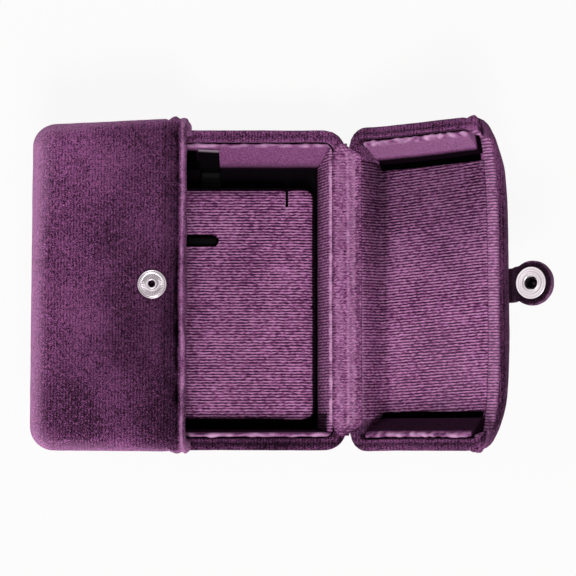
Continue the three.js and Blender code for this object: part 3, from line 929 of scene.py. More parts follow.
@dataclass
class BaseCase:
    """The lower case: a velvet covered tray with padded linings and its foot sheet."""

    dresser: Dresser
    half_width: float = HINGE_HALF_SPAN - HINGE_PLAY
    bottom: float = 1.1
    rim: float = 23.7
    corner: float = 7.0
    foot_edge: float = 1.6
    floor: float = 4.0
    voxel: float = 0.62

    def build(self) -> None:
        """Builds every piece of the base."""
        self.tray()
        wardrobe = self.dresser.wardrobe
        smooth = (wardrobe.velveteen, "smooth_lining")
        ribbed = (wardrobe.ribbed, "ribbed_lining")
        for wall, finish in (("back", smooth), ("front", smooth), ("left", ribbed), ("right", ribbed)):
            self.dresser.pad_out(
                f"base_lining_{wall}", f"base_padding_{wall}", TO_METRES, (0.4, 2),
                (self.padded_wall, self.pale_crest), finish, "base", 0.7,
            )
        self.dresser.dress_solid("base_foot_sheet", wardrobe.velvet)
        self.dresser.dress_solid("base_floor_card", wardrobe.board)

    def tray(self) -> None:
        """The velvet covered walls and floor, with a soft rim that dips for the hinge cloths."""
        low = (-self.half_width, -BOX_HALF_DEPTH, -self.rim)
        high = (self.half_width, BOX_HALF_DEPTH, -self.bottom)
        bm = rounded_block(low, high, self.corner, self.foot_edge, 8)
        bmesh.ops.scale(bm, vec=(1, 1, -1), verts=bm.verts)
        bmesh.ops.reverse_faces(bm, faces=bm.faces)
        bm.normal_update()
        top = max(bm.faces, key=lambda f: f.calc_center_median().z)
        bmesh.ops.inset_region(bm, faces=[top], thickness=BOARD, use_even_offset=True)
        pushed_out(bm, bmesh.ops.extrude_face_region(bm, geom=[top]), (0, 0, self.floor - self.rim))
        bmesh.ops.delete(bm, geom=[top], context="FACES")
        piece = into_object(bm, "base_velvet")
        even_faces(piece, self.voxel, 3)
        sculpt(piece, self.soft_rim, self.pale_rim)
        self.dresser.place(
            piece, TO_METRES, self.dresser.wardrobe.velvet, "velvet", "base", ("base_cover", "base_shell"),
        )

    def outward(self, place: Vector) -> float:
        """How far a point lies outside the plain walls, or inside them where it is negative."""
        return max(abs(place.x) - self.half_width, abs(place.y) - BOX_HALF_DEPTH)

    def soft_rim(self, place: Vector, normal: Vector) -> Vector:
        """Slack in the cloth, and the dip under each hinge cloth.

        Args:
            place: the point, in the piece's own millimetres.
            normal: its normal.

        Returns:
            How far the point moves, in millimetres.
        """
        slack = normal * (0.10 * ripple(place, 9.0, 3.0) + 0.04 * ripple(place, 2.4, 7.0))
        tuck = 0.5 * slope(abs(place.x), 45.5, 48.5) * (1 - slope(place.z, 17.0, 21.0))
        slack.x -= math.copysign(tuck, place.x)
        outward = self.outward(place)
        if place.z > 21.5:
            groove = -0.38 * hump(outward, -2.35, 0.4) + 0.16 * hump(outward, -3.1, 0.5)
            groove += 0.10 * hump(outward, -3.1, 0.8) * ripple(place, 2.2, 33.0)
            slack = slack + Vector((0, 0, groove))
        inward = abs(place.x) - self.half_width + HINGE_CLOTH_SEAT
        if inward > 0 and place.z > 21.5:
            dip = min(0.0, 22.35 - place.z) * under_hinge_cloth(place, inward)
            return slack * 0.5 + Vector((0, 0, dip))
        return slack

    def pale_rim(self, place: Vector) -> float:
        """Painted sheen along the bends of the rim, and painted shade on the inner walls and the rim's front
        half.

        Args:
            place: the point, in the piece's own millimetres.

        Returns:
            The painted light mark there.
        """
        outward = self.outward(place)
        # Painted shade down the inner walls.
        if place.z < 22.2:
            return -0.75 - 0.25 * slope(place.z, 22.0, 20.0) if outward < -3.3 and place.z > 2.5 else 0.0
        # Painted sheen on the inner bend and the outer edge, painted shade in the groove and on the front
        # half.
        turned = 0.30 * hump(outward, -3.1, 0.45) * (0.6 + ripple(place, 2.6, 9.0))
        shade = -0.35 * hump(outward, -2.2, 0.9) - (0.48 if place.y < 0 else 0.02)
        return 0.10 * hump(outward, -0.4, 0.9) + turned + shade

    def padded_wall(self, place: Vector, normal: Vector) -> Vector:
        """Wadding that is a little uneven, and puckers along the crest.

        Args:
            place: the point, in the piece's own millimetres.
            normal: its normal.

        Returns:
            How far the point moves, in millimetres.
        """
        even = 0.10 * ripple(place, 7.0, 11.0)
        crest = slope(place.z, 21.4, 23.0)
        pucker = 0.40 * crest * ripple(place, 2.4, 2.0)
        return normal * (even + pucker)

    def pale_crest(self, place: Vector) -> float:
        """Painted sheen where the lining turns over the crest, and painted shade down the wall.

        Args:
            place: the point, in the piece's own millimetres.

        Returns:
            The painted light mark there.
        """
        level = slope(place.z, 22.3, 23.1)
        crest = level * (0.38 + 0.9 * ripple(place, 2.4, 2.0))
        # Painted shade down each wall, and on the back wall a painted shadow beside the ribbon.
        if place.y > BOX_HALF_DEPTH - 12:
            shade = 1.3 * hump(place.x, -1.2, 4.6) * (1 - slope(place.z, 20.6, 22.3))
            return max(-1.0, crest - 0.97 * (1 - slope(place.z, 9.5, 17.0)) - shade)
        if place.y < 12 - BOX_HALF_DEPTH:
            return crest - 0.9 * (1 - slope(place.z, 20.0, 22.0))
        return crest + 0.45 * level - 0.9 * (1 - slope(place.z, 8.0, 22.5))


# The pad


@dataclass
class JewelPad:
    """The padded card that lies in the tray, and the ribbon that lifts it."""

    dresser: Dresser
    half_width: float = 39.8
    front: float = -42.5
    back: float = 34.7
    bottom: float = 5.75
    top: float = 13.6
    corner: float = 3.0
    edge: float = 1.8
    slit_x: float = 30.3
    slit_length: float = 6.6
    slot_y: float = 16.7
    slot_half: float = 7.8
    slot_end: float = 1.7
    ribbon_x: float = 5.0
    ribbon_width: float = 6.8
    swell: float = 0.35

    def build(self) -> None:
        """Builds the pad and its ribbon."""
        self.cushion()
        self.ribbon()
        self.slot_lining()

    def cushion(self) -> None:
        """The crowned pad, swelled by a short cloth run, then slit and slotted."""
        inset = 0.3
        bm = rounded_block(
            (-self.half_width + inset, self.front + inset, self.bottom + 0.1),
            (self.half_width - inset, self.back - inset, self.top - 0.35), self.corner, self.edge, 5,
        )
        piece = into_object(bm, "ribbed_pad")
        even_faces(piece, 1.5, 2)
        self.swell_cloth(piece)
        self.cut(piece)
        sculpt(piece, self.worked_in, self.pale_edge)
        ribbed = self.dresser.wardrobe.ribbed
        self.dresser.place(piece, TO_METRES, ribbed, "ribbed_lining", "pad", ("pad_cover", "pad_foam"))

    def swell_cloth(self, piece: Piece) -> None:
        """Runs the cloth solver for a few frames, caps how far it moves, and keeps the result.

        Args:
            piece: the piece.
        """
        rest = [v.co.copy() for v in piece.data.vertices]
        piece.data.transform(TO_METRES)
        cloth = piece.modifiers.new("swell", "CLOTH")
        cloth.settings.use_pressure = True
        cloth.settings.uniform_pressure_force = 4.0
        cloth.settings.effector_weights.gravity = 0.0
        cloth.settings.quality = 5
        cloth.collision_settings.use_collision = False
        scene = bpy.context.scene
        for step in range(1, 13):
            scene.frame_set(step)
        settled(piece)
        scene.frame_set(1)
        piece.data.transform(TO_METRES.inverted())
        for vertex, start in zip(piece.data.vertices, rest):
            move = vertex.co - start
            if move.length > self.swell:
                move = move * (self.swell / move.length)
            vertex.co = start + move
        piece.data.update()

    def cut(self, piece: Piece) -> None:
        """Gives the pad fine faces, then cuts the two slits and the slot through it.

        Args:
            piece: the piece.
        """
        even_faces(piece, 0.5, 3)
        for x in (-self.slit_x, self.slit_x):
            middle = self.back - self.slit_length / 2 + 2
            take_away(piece, block((0.24, self.slit_length + 4, 30), (x, middle, 10)))
        bm = rounded_block(
            (-self.slot_half, self.slot_y - self.slot_end, -5),
            (self.slot_half, self.slot_y + self.slot_end, 30), self.slot_end - 0.02, 0, 6,
        )
        take_away(piece, bm)

    def worked_in(self, place: Vector, normal: Vector) -> Vector:
        """Soft hollows, a dip beside each slit and slot, and cloth drawn in at the slot.

        Args:
            place: the point, in the piece's own millimetres.
            normal: its normal.

        Returns:
            How far the point moves, in millimetres.
        """
        if place.z < self.top - 3.0:
            return Vector((0, 0, 0))
        even = 0.16 * ripple(place, 16.0, 21.0) + 0.05 * ripple(place, 4.0, 9.0)
        slit_end = self.back - self.slit_length
        slit = 0.0
        for x in (-self.slit_x, self.slit_x):
            slit -= 0.5 * hump(place.x, x, 1.3) * slope(place.y, slit_end - 5, slit_end)
        beyond = max(0.0, abs(place.x) - self.slot_half + self.slot_end)
        far = math.hypot(beyond, place.y - self.slot_y) - self.slot_end
        slot = -0.55 * hump(far, 0.0, 0.9)
        return normal * (even + slit + slot)

    def pale_edge(self, place: Vector) -> float:
        """A painted highlight along the creases that run on from the slits, and painted shade down the sides.

        Args:
            place: the point, in the piece's own millimetres.

        Returns:
            The painted light mark there.
        """
        crease = 0.0
        for x in (-self.slit_x, self.slit_x):
            crease += 0.5 * hump(place.x, x, 0.5) * slope(place.y, self.back - 11.0, self.back - 6.0)
        # Painted shade down the pad's sides.
        if place.z < self.top - 1.2:
            return -0.95
        return min(0.6, crease)

    def ribbon(self) -> None:
        """The black satin pull, out from under the pad and up the back wall, cut at a slant."""
        half = self.ribbon_width / 2
        path = [(29.9, 6.25), (38.6, 6.25), (40.2, 6.6), (40.55, 8.3), (40.55, 13.7), (45.4, 22.45)]
        bm = ruled([(self.ribbon_x - half, y, z) for y, z in path], (2 * half, 0, 0))
        bmesh.ops.subdivide_edges(bm, edges=list(bm.edges), cuts=7, use_grid_fill=True)
        bmesh.ops.recalc_face_normals(bm, faces=bm.faces)
        piece = into_object(bm, "satin_ribbon")
        thickened(piece, 0.4)
        sculpt(piece, self.slanted_end, self.cut_edge)
        self.dresser.place(piece, TO_METRES, self.dresser.wardrobe.satin, "satin", "pad", ("pull_ribbon",))

    def slanted_end(self, place: Vector, normal: Vector) -> Vector:
        """Shortens the ribbon's free end towards the right, so that its edge slants.

        Args:
            place: the point, in the piece's own millimetres.
            normal: its normal.

        Returns:
            How far the point moves, in millimetres.
        """
        share = slope(place.z, 18.0, 22.4)
        drop = share * 0.176 * (place.x - self.ribbon_x + self.ribbon_width / 2) * 0.5
        return Vector((0, -0.5 * drop, -drop))

    def cut_edge(self, place: Vector) -> float:
        """A painted glint on the cut end, and painted shade on the ribbon's foot."""
        return 0.75 * slope(place.z, 21.7, 22.2) - slope(place.z, 16.0, 12.0)

    def slot_lining(self) -> None:
        """The black satin that shows low in the slot."""
        bm = rounded_block(
            (-self.slot_half + 0.15, self.slot_y - self.slot_end + 0.15, 8.6),
            (self.slot_half - 0.15, self.slot_y + self.slot_end - 0.15, 11.4), self.slot_end - 0.2, 0.5, 5,
        )
        piece = into_object(bm, "slot_satin")
        sculpt(piece, self.sagging, None)
        self.dresser.place(piece, TO_METRES, self.dresser.wardrobe.satin, "satin", "pad")

    def sagging(self, place: Vector, normal: Vector) -> Vector:
        """A slight sag along the slot."""
        return Vector((0, 0, -0.4 * (1 - (place.x / self.slot_half) ** 2) if place.z > 10 else 0.0))


# The doors


@dataclass
class Door:
    """A velvet covered door: a thick soft shell with padded linings and a rolled free edge."""

    dresser: Dresser
    side: Side
    voxel: float = 0.55
    edge: float = 6.4
    hem_start: float = DOOR_LENGTH - 6.4
    end_corner: float = 4.8
    lean: float = 0.75

    @property
    def corner(self) -> float:
        """Radius of the corners beside the hinge, which the thrown open door shows drawn out."""
        return 7.5 if self.side is Side.LEFT else 6.6

    @property
    def back(self) -> float:
        """1 where the door's own depth runs to the back of the box, -1 where it runs to the front."""
        return 1.0 if self.side is Side.LEFT else -1.0

    def build(self) -> None:
        """Builds every piece of the door."""
        self.cover()
        self.padding()

    def cover(self) -> None:
        """The velvet skin over its shell, with soft rims."""
        bm = rounded_block(
            (HINGE_PLAY, -BOX_HALF_DEPTH, -12), (2 * DOOR_LENGTH, BOX_HALF_DEPTH, DOOR_HEIGHT),
            self.corner, self.edge, 8,
        )
        cut_away(bm, (DOOR_LENGTH, 0, 0), (1, 0, 0))
        cut_away(bm, (0, 0, HINGE_PLAY), (0, 0, -1))
        piece = into_object(bm, f"{self.side.value}_door_velvet")
        thickened(piece, BOARD, -1.0, even=True)
        even_faces(piece, self.voxel, 3)
        sculpt(piece, self.cloth, self.pale_cover)
        name = self.side.body
        self.dresser.place(
            piece, self.side.placement, self.dresser.wardrobe.velvet, "velvet", name,
            (f"{name}_cover", f"{name}_shell"),
        )

    def cloth(self, place: Vector, normal: Vector) -> Vector:
        """Slack, the hem's grooves and wrinkles, fuller corners, and the dip for the hinge cloth.

        Args:
            place: the point, in the piece's own millimetres.
            normal: its normal.

        Returns:
            How far the point moves, in millimetres.
        """
        slack = 0.10 * ripple(place, 11.0, 31.0) + 0.035 * ripple(place, 2.2, 17.0)
        hem = self.hem(place)
        corner = self.full_corner(place)
        rim = 0.0
        if place.z < 1.6 and place.x > 8:
            from_side = BOX_HALF_DEPTH - abs(place.y)
            rim = 0.22 * hump(from_side, 3.2, 0.5) * ripple(place, 2.0, 27.0)
            rim -= 0.40 * hump(from_side, 2.2, 0.4)
        move = normal * (slack + hem + corner + rim)
        inward = HINGE_CLOTH_SEAT - place.x
        if inward > 0 and place.z < 2.6:
            move = move * 0.5 + Vector((0, 0, max(0.0, 1.65 - place.z) * under_hinge_cloth(place, inward)))
        if self.side is Side.LEFT:
            wavy = 0.7 * slope(place.x, DOOR_LENGTH - 3, DOOR_LENGTH) * ripple(place, 8.0, 57.0)
            move.x -= self.lean * place.z / DOOR_HEIGHT - wavy
        return move + self.drawn_in(place)

    def drawn_in(self, place: Vector) -> Vector:
        """How the cloth draws the free end: the shut door splays, the open one is pulled to an arch.

        Args:
            place: the point, in the piece's own millimetres.

        Returns:
            How far the point moves, in millimetres.
        """
        outwards = math.copysign(1.0, place.y)
        if self.side is Side.LEFT:
            splay = (1.7 if place.y > 0 else 0.3) * slope(place.x, 4.0, DOOR_LENGTH)
            return Vector((0, outwards * splay * slope(abs(place.y), 30.0, 48.0), 0))
        inset = max(0.0, BOX_HALF_DEPTH - abs(place.y))
        full = DOOR_HEIGHT
        if inset < self.edge:
            full = DOOR_HEIGHT - self.edge + math.sqrt(self.edge ** 2 - (self.edge - inset) ** 2)
        across = min(1.0, abs(place.y) / BOX_HALF_DEPTH)
        arch = 3.0 + 14.5 * (1 - across ** 4) ** 0.6
        share = slope(place.x, 22.0, DOOR_LENGTH - 1.5) * (1 - min(1.0, arch / full))
        past = min(self.end_corner, max(0.0, place.x - DOOR_LENGTH + self.end_corner))
        corner = self.end_corner - math.sqrt(self.end_corner ** 2 - 0.97 * past ** 2)
        inwards = corner * slope(abs(place.y), 34.0, 47.0)
        near = 0.6 * hump(place.x, 0.0, 9.0) * slope(abs(place.y), 40.0, 49.0)
        return Vector((0, outwards * (near - inwards), -share * max(0.0, place.z - 1.0)))

    def hem(self, place: Vector) -> float:
        """Height of the folded hem near the free edge: a groove, a wrinkled band and a bead.

        Args:
            place: the point, in the piece's own millimetres.

        Returns:
            How far the cloth stands out, in millimetres.
        """
        u = place.x
        if u < self.hem_start - 2:
            return 0.0
        outer = max(slope(place.z, 13.4, 15.4), slope(abs(place.y), 49.2, 50.6))
        groove = -0.42 * hump(u, self.hem_start + 0.3, 0.5)
        wave = ripple(Vector((u * 0.5, place.y * 0.8, place.z)), 1.5, 41.0) + 0.7 * ripple(place, 4.5, 43.0)
        wrinkle = 1.1 * hump(u, self.hem_start + 2.4, 1.6) * wave
        second = -0.45 * hump(u, DOOR_LENGTH - 2.3 + 0.6 * ripple(place, 6.0, 44.0), 0.4)
        bead = (0.28 + 0.5 * ripple(place, 3.0, 47.0)) * hump(u, DOOR_LENGTH - 1.25, 0.6)
        return outer * (groove * (1 + 0.5 * wave) + wrinkle + second + bead)

    def from_gather(self, place: Vector) -> float:
        """How far a point is from the nearer gathered corner, which is a little drawn out."""
        along = place.x - DOOR_LENGTH + 1.6
        return Vector((along, (abs(place.y) - 49.6) * 0.8, (place.z - 2.6) * 0.75)).length

    def full_corner(self, place: Vector) -> float:
        """Cloth gathered where the hem meets the rim, at both ends of the free edge.

        Args:
            place: the point, in the piece's own millimetres.

        Returns:
            How far the cloth stands out, in millimetres.
        """
        gather = 0.35 + 0.8 * ripple(place, 1.5, 8.0)
        share = 0.9 if self.side is Side.LEFT else 0.35
        return share * gather * hump(self.from_gather(place), 0.0, 3.2)

    def pale_cover(self, place: Vector) -> float:
        """Painted sheen on bends and the left door's edges, painted highlights on the hem's bead and at the
        gathers, painted shade inside and in creases, and a darker tone towards the free edge.

        Args:
            place: the point, in the piece's own millimetres.

        Returns:
            The painted light mark there.
        """
        inside = 4.4 < place.x < DOOR_LENGTH - 6.5 and place.z < 14.0 and abs(place.y) < BOX_HALF_DEPTH - 3.6
        # Painted shade on the shell's inside, where it shows between the linings.
        if inside:
            return -0.72 - 0.28 * slope(place.z, 1.6, 3.4)
        # Painted highlights at the gathers; painted sheen and shade along the rim.
        corner = 0.34 * hump(self.from_gather(place), 0.0, 2.8) * (1 + 0.6 * ripple(place, 1.4, 3.0))
        from_side = BOX_HALF_DEPTH - abs(place.y)
        rim = 0.0
        if place.z < 1.8:
            rim = 0.42 * hump(from_side, 3.2, 0.42) * (0.55 + ripple(place, 2.2, 12.0)) - 0.3
            rim -= 0.4 * hump(from_side, 2.2, 0.6)
        if self.side is Side.RIGHT:
            # Painted shade on the right door's end face.
            end = -0.5 * slope(place.x, DOOR_LENGTH - 2.6, DOOR_LENGTH - 0.6)
            return min(0.8, corner + rim + end)
        # Painted highlight on the bead, painted shade on the lip and in the hem's creases.
        bead = hump(place.x, DOOR_LENGTH - 1.25, 0.65) * slope(place.z, 9.0, 12.0)
        bead *= 0.75 + 0.9 * ripple(place, 4.0, 46.0)
        line = ripple(Vector((place.x * 1.3, place.y * 0.3, place.z)), 1.6, 5.0)
        lip = -0.35 * slope(place.x, DOOR_LENGTH - 0.75, DOOR_LENGTH - 0.25)
        fold = -0.22 * hump(place.x, DOOR_LENGTH - 4.6, 3.2)
        fold -= 0.42 * hump(place.x, DOOR_LENGTH - 2.7, 0.8) * (0.8 + 1.1 * line)
        # Painted sheen along the hinge side and the front and back edges.
        edges = 1.15 * hump(place.x, 0.0, 5.0) + 0.45 * hump(place.y, 0.8 - BOX_HALF_DEPTH, 3.2)
        edges += 0.85 * hump(place.y, BOX_HALF_DEPTH - 0.6, 2.2)
        level = slope(place.z, 12.0, 16.0) * (1 - slope(place.x, DOOR_LENGTH - 2.6, DOOR_LENGTH - 1.7))
        # Darker towards the free edge and in random patches.
        patch = 0.14 * ripple(place, 26.0, 90.0)
        darkening = -(0.09 + patch + 0.36 * slope(place.x, 10.0, 38.0) + 0.08 * hump(place.y, -12.0, 30.0)) * level
        return max(-1.0, min(0.85, bead + lip + corner + rim + fold + edges + darkening))

    def padding(self) -> None:
        """The panel's ribbed cloth, the side walls' smooth strips, and the roll at the free edge."""
        wardrobe = self.dresser.wardrobe
        strip = ((0.4, 2), (self.twisted_crest, self.pale_crest), (wardrobe.velveteen, "smooth_lining"), 0.6)
        panel = (
            (0.5, 3), (self.padded_panel, self.pale_panel), (wardrobe.ribbed_rising, "ribbed_lining"), 0.6,
        )
        roll = ((0.4, 3), (self.full_roll, self.pale_roll), (wardrobe.ribbed, "ribbed_lining"), 0.8)
        for node, name, (faces, marks, finish, fill) in (
            ("lining", "panel_cloth", panel), ("side_lining_back", "door_padding_back", strip),
            ("side_lining_front", "door_padding_front", strip), ("edge_roll", "edge_cord", roll),
        ):
            self.dresser.pad_out(
                f"{self.side.body}_{node}", f"{self.side.value}_{name}", self.side.placement, faces, marks,
                finish, self.side.body, fill,
            )

    def padded_panel(self, place: Vector, normal: Vector) -> Vector:
        """A low crown over the panel that sinks at its edges.

        Args:
            place: the point, in the piece's own millimetres.
            normal: its normal.

        Returns:
            How far the point moves, in millimetres.
        """
        lift = 0.12 * ripple(place, 13.0, 51.0)
        if place.x > 6.5 and place.z < 13.6:
            lift += 0.35 * hump(abs(place.y), 0.0, 26.0)
        return normal * lift + self.drawn_in(place)

    def pale_panel(self, place: Vector) -> float:
        """Painted light: paler towards the box's front and at the hinge wall's top, painted shade at the
        sides and at the hinge wall's foot.

        Args:
            place: the point, in the piece's own millimetres.

        Returns:
            The painted light mark there.
        """
        # Painted highlight along the hinge wall's top.
        upper = 0.30 * (1 - slope(place.z, 1.4, 3.6)) if place.x < 7 else 0.0
        # Painted shade towards the back of the box, and painted shadow under the side walls.
        darkening = 0.5 * slope(self.back * place.y, -20.0, 42.0)
        if place.x > 6.5:
            darkening += 0.8 * slope(abs(place.y), 39.6, 41.2)
        # Painted shade in the crease at the hinge wall's foot and down the wall.
        foot = 0.25 * hump(place.x, 6.4, 1.2)
        foot += 0.15 * slope(place.z, 2.0, 12.0) * (1 - slope(place.x, 5.0, 8.0))
        return upper + 0.04 + 0.05 * ripple(place, 12.0, 6.0) - darkening - foot

    def twisted_crest(self, place: Vector, normal: Vector) -> Vector:
        """Slanting puckers along the crest, growing towards the free edge.

        Args:
            place: the point, in the piece's own millimetres.
            normal: its normal.

        Returns:
            How far the point moves, in millimetres.
        """
        crest = 1 - slope(place.z, 1.6, 3.4)
        grown = slope(place.x, 8.0, 34.0)
        twist = math.sin(2 * math.pi * (place.x + 1.6 * abs(place.y)) / 3.1 + 2.0 * ripple(place, 9.0, 4.0))
        pucker = crest * (0.04 + 0.06 * grown) * twist + 0.45 * crest * ripple(place, 2.0, 71.0)
        return normal * (pucker + 0.08 * ripple(place, 6.0, 13.0)) + self.drawn_in(place)

    def pale_crest(self, place: Vector) -> float:
        """Painted highlights in dashes where the twisted cloth catches the light, over a wall with painted
        shade towards the panel.

        Args:
            place: the point, in the piece's own millimetres.

        Returns:
            The fold mark there.
        """
        crest = (1 - slope(place.z, 1.2, 2.6)) * (0.26 + 1.1 * ripple(place, 2.0, 71.0))
        # Painted shadow at the back strip's foot, and painted shade below the front strip's crest.
        if self.back * place.y > 0:
            return crest + 0.12 - 1.1 * slope(place.z, 7.6, 9.6)
        return crest - 0.88 * slope(place.z, 1.8, 3.2)

    def full_roll(self, place: Vector, normal: Vector) -> Vector:
        """The roll is full in its middle and lies on the panel's edge."""
        full = hump(place.x, DOOR_LENGTH - 3.6, 2.0)
        return normal * (0.30 * full + 0.06 * ripple(place, 5.0, 61.0)) + self.drawn_in(place)

    def pale_roll(self, place: Vector) -> float:
        """A painted sheen over the roll."""
        return 0.16 + 0.06 * ripple(place, 6.0, 2.0)


# The hinge cloths


@dataclass
class HingeCloth:
    """The strip of cloth that joins the base's rim to a door's rim."""

    dresser: Dresser
    side: Side
    radius: float = 0.85
    leg: float = 4.85
    half_length: float = 46.9
    thickness: float = 0.5

    def build(self) -> None:
        """Builds the strip between the base and the door."""
        bm = ruled([(x, -self.half_length, z) for x, z in self.path()], (0, 2 * self.half_length, 0))
        long_edges = [e for e in bm.edges if abs(e.verts[0].co.y - e.verts[1].co.y) > 1]
        bmesh.ops.subdivide_edges(bm, edges=long_edges, cuts=120, use_grid_fill=True)
        bmesh.ops.recalc_face_normals(bm, faces=bm.faces)
        piece = into_object(bm, f"{self.side.value}_hinge_strip")
        sculpt(piece, self.creased, self.pale_creases)
        thickened(piece, self.thickness)
        self.dresser.place(
            piece, TO_METRES, self.dresser.wardrobe.crushed, "ribbed_lining", None,
            (f"{self.side.value}_hinge_cloth",),
        )
        self.bend(piece)

    def path(self) -> List[Tuple[float, float]]:
        """The strip's course in X and Z at rest, from the base over the hinge line to the door.

        Returns:
            Points in millimetres.
        """
        opening = DOOR_OPENING if self.side is Side.RIGHT else 0.0
        end = 90.0 - opening
        points: List[Tuple[float, float]] = []
        for i in range(9):
            t = i / 8
            points.append((-self.leg * (1 - t), -self.radius))
        steps = 6 if self.side is Side.RIGHT else 12
        for i in range(1, steps + 1):
            angle = math.radians(-90 + (end + 90) * i / steps)
            points.append((self.radius * math.cos(angle), self.radius * math.sin(angle)))
        out = (math.cos(math.radians(end)), math.sin(math.radians(end)))
        for i in range(1, 9):
            reach = self.leg * i / 8
            points.append((self.radius * out[0] - out[1] * reach, self.radius * out[1] + out[0] * reach))
        turn = 1 if self.side is Side.RIGHT else -1
        return [(turn * (HINGE_HALF_SPAN + x), BASE_HEIGHT + z) for x, z in points]

    def creased(self, place: Vector, normal: Vector) -> Vector:
        """Two sewn lines beside the hinge line, slack between them, and puckers at both ends.

        Args:
            place: the point, in the piece's own millimetres.
            normal: its normal.

        Returns:
            How far the point moves, in millimetres.
        """
        across = abs(place.x) - HINGE_HALF_SPAN
        sewn = -0.16 * hump(across, 0.9, 0.3) - 0.12 * hump(across, -0.7, 0.3)
        full = 0.22 * hump(across, -2.4, 1.3) if self.side is Side.RIGHT else 0.0
        ends = slope(abs(place.y), 38.0, 43.5)
        pucker = (0.05 + 0.2 * ends) * ripple(place, 1.8, 15.0)
        up = Vector((0, 0, 1)) if self.side is Side.RIGHT else normal
        drawn = 0.6 * slope(abs(place.y), 42.5, self.half_length) * (1 + 0.5 * ripple(place, 1.5, 16.0))
        turn = math.copysign(1.0, place.x)
        towards = Vector((-turn * (across + 3.2), 0, BASE_HEIGHT - 0.2 - place.z)) * drawn
        return up * (sewn + full) * (1 - drawn) + normal * pucker * 0.6 + towards

    def pale_creases(self, place: Vector) -> float:
        """Painted sheen beside the sewn lines, and painted shade in the grooves and towards the ends.

        Args:
            place: the point, in the piece's own millimetres.

        Returns:
            The painted light mark there.
        """
        across = abs(place.x) - HINGE_HALF_SPAN
        # Painted sheen beside the sewn lines; painted shade towards the ends and in the grooves.
        line = 0.30 * hump(across, 0.3, 0.4) + 0.22 * hump(across, 2.2, 0.5)
        ends = 0.35 * slope(abs(place.y), 43.0, 47.0) * (1 + ripple(place, 1.3, 24.0))
        groove = 0.6 * hump(across, -4.8, 0.9) + 0.2 * hump(across, -0.7, 0.5) + 0.3 * slope(across, 2.2, 3.4)
        return 0.16 + line + 0.35 * ripple(place, 1.5, 23.0) - groove - ends

    def bend(self, piece: Piece) -> None:
        """Bakes the strip's placement into its mesh.

        Args:
            piece: the piece.
        """
        if self.side is Side.RIGHT:
            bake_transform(piece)
        else:
            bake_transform(piece)


# The snap fastener and its tab


def spun(profile: Sequence[Tuple[float, float]], steps: int) -> Form:
    """Turns a profile about the upright axis.

    Args:
        profile: radius and height of each point, in millimetres.
        steps: faces round the axis.

    Returns:
        The turned mesh, closed where the profile meets the axis or itself.
    """
    bm, row, edges = threaded([(radius, 0, height) for radius, height in profile])
    bmesh.ops.spin(
        bm, geom=row + edges, cent=(0, 0, 0), axis=(0, 0, 1), angle=2 * math.pi, steps=steps, use_merge=True,
    )
    bmesh.ops.remove_doubles(bm, verts=bm.verts, dist=1e-4)
    bmesh.ops.recalc_face_normals(bm, faces=bm.faces)
    return bm


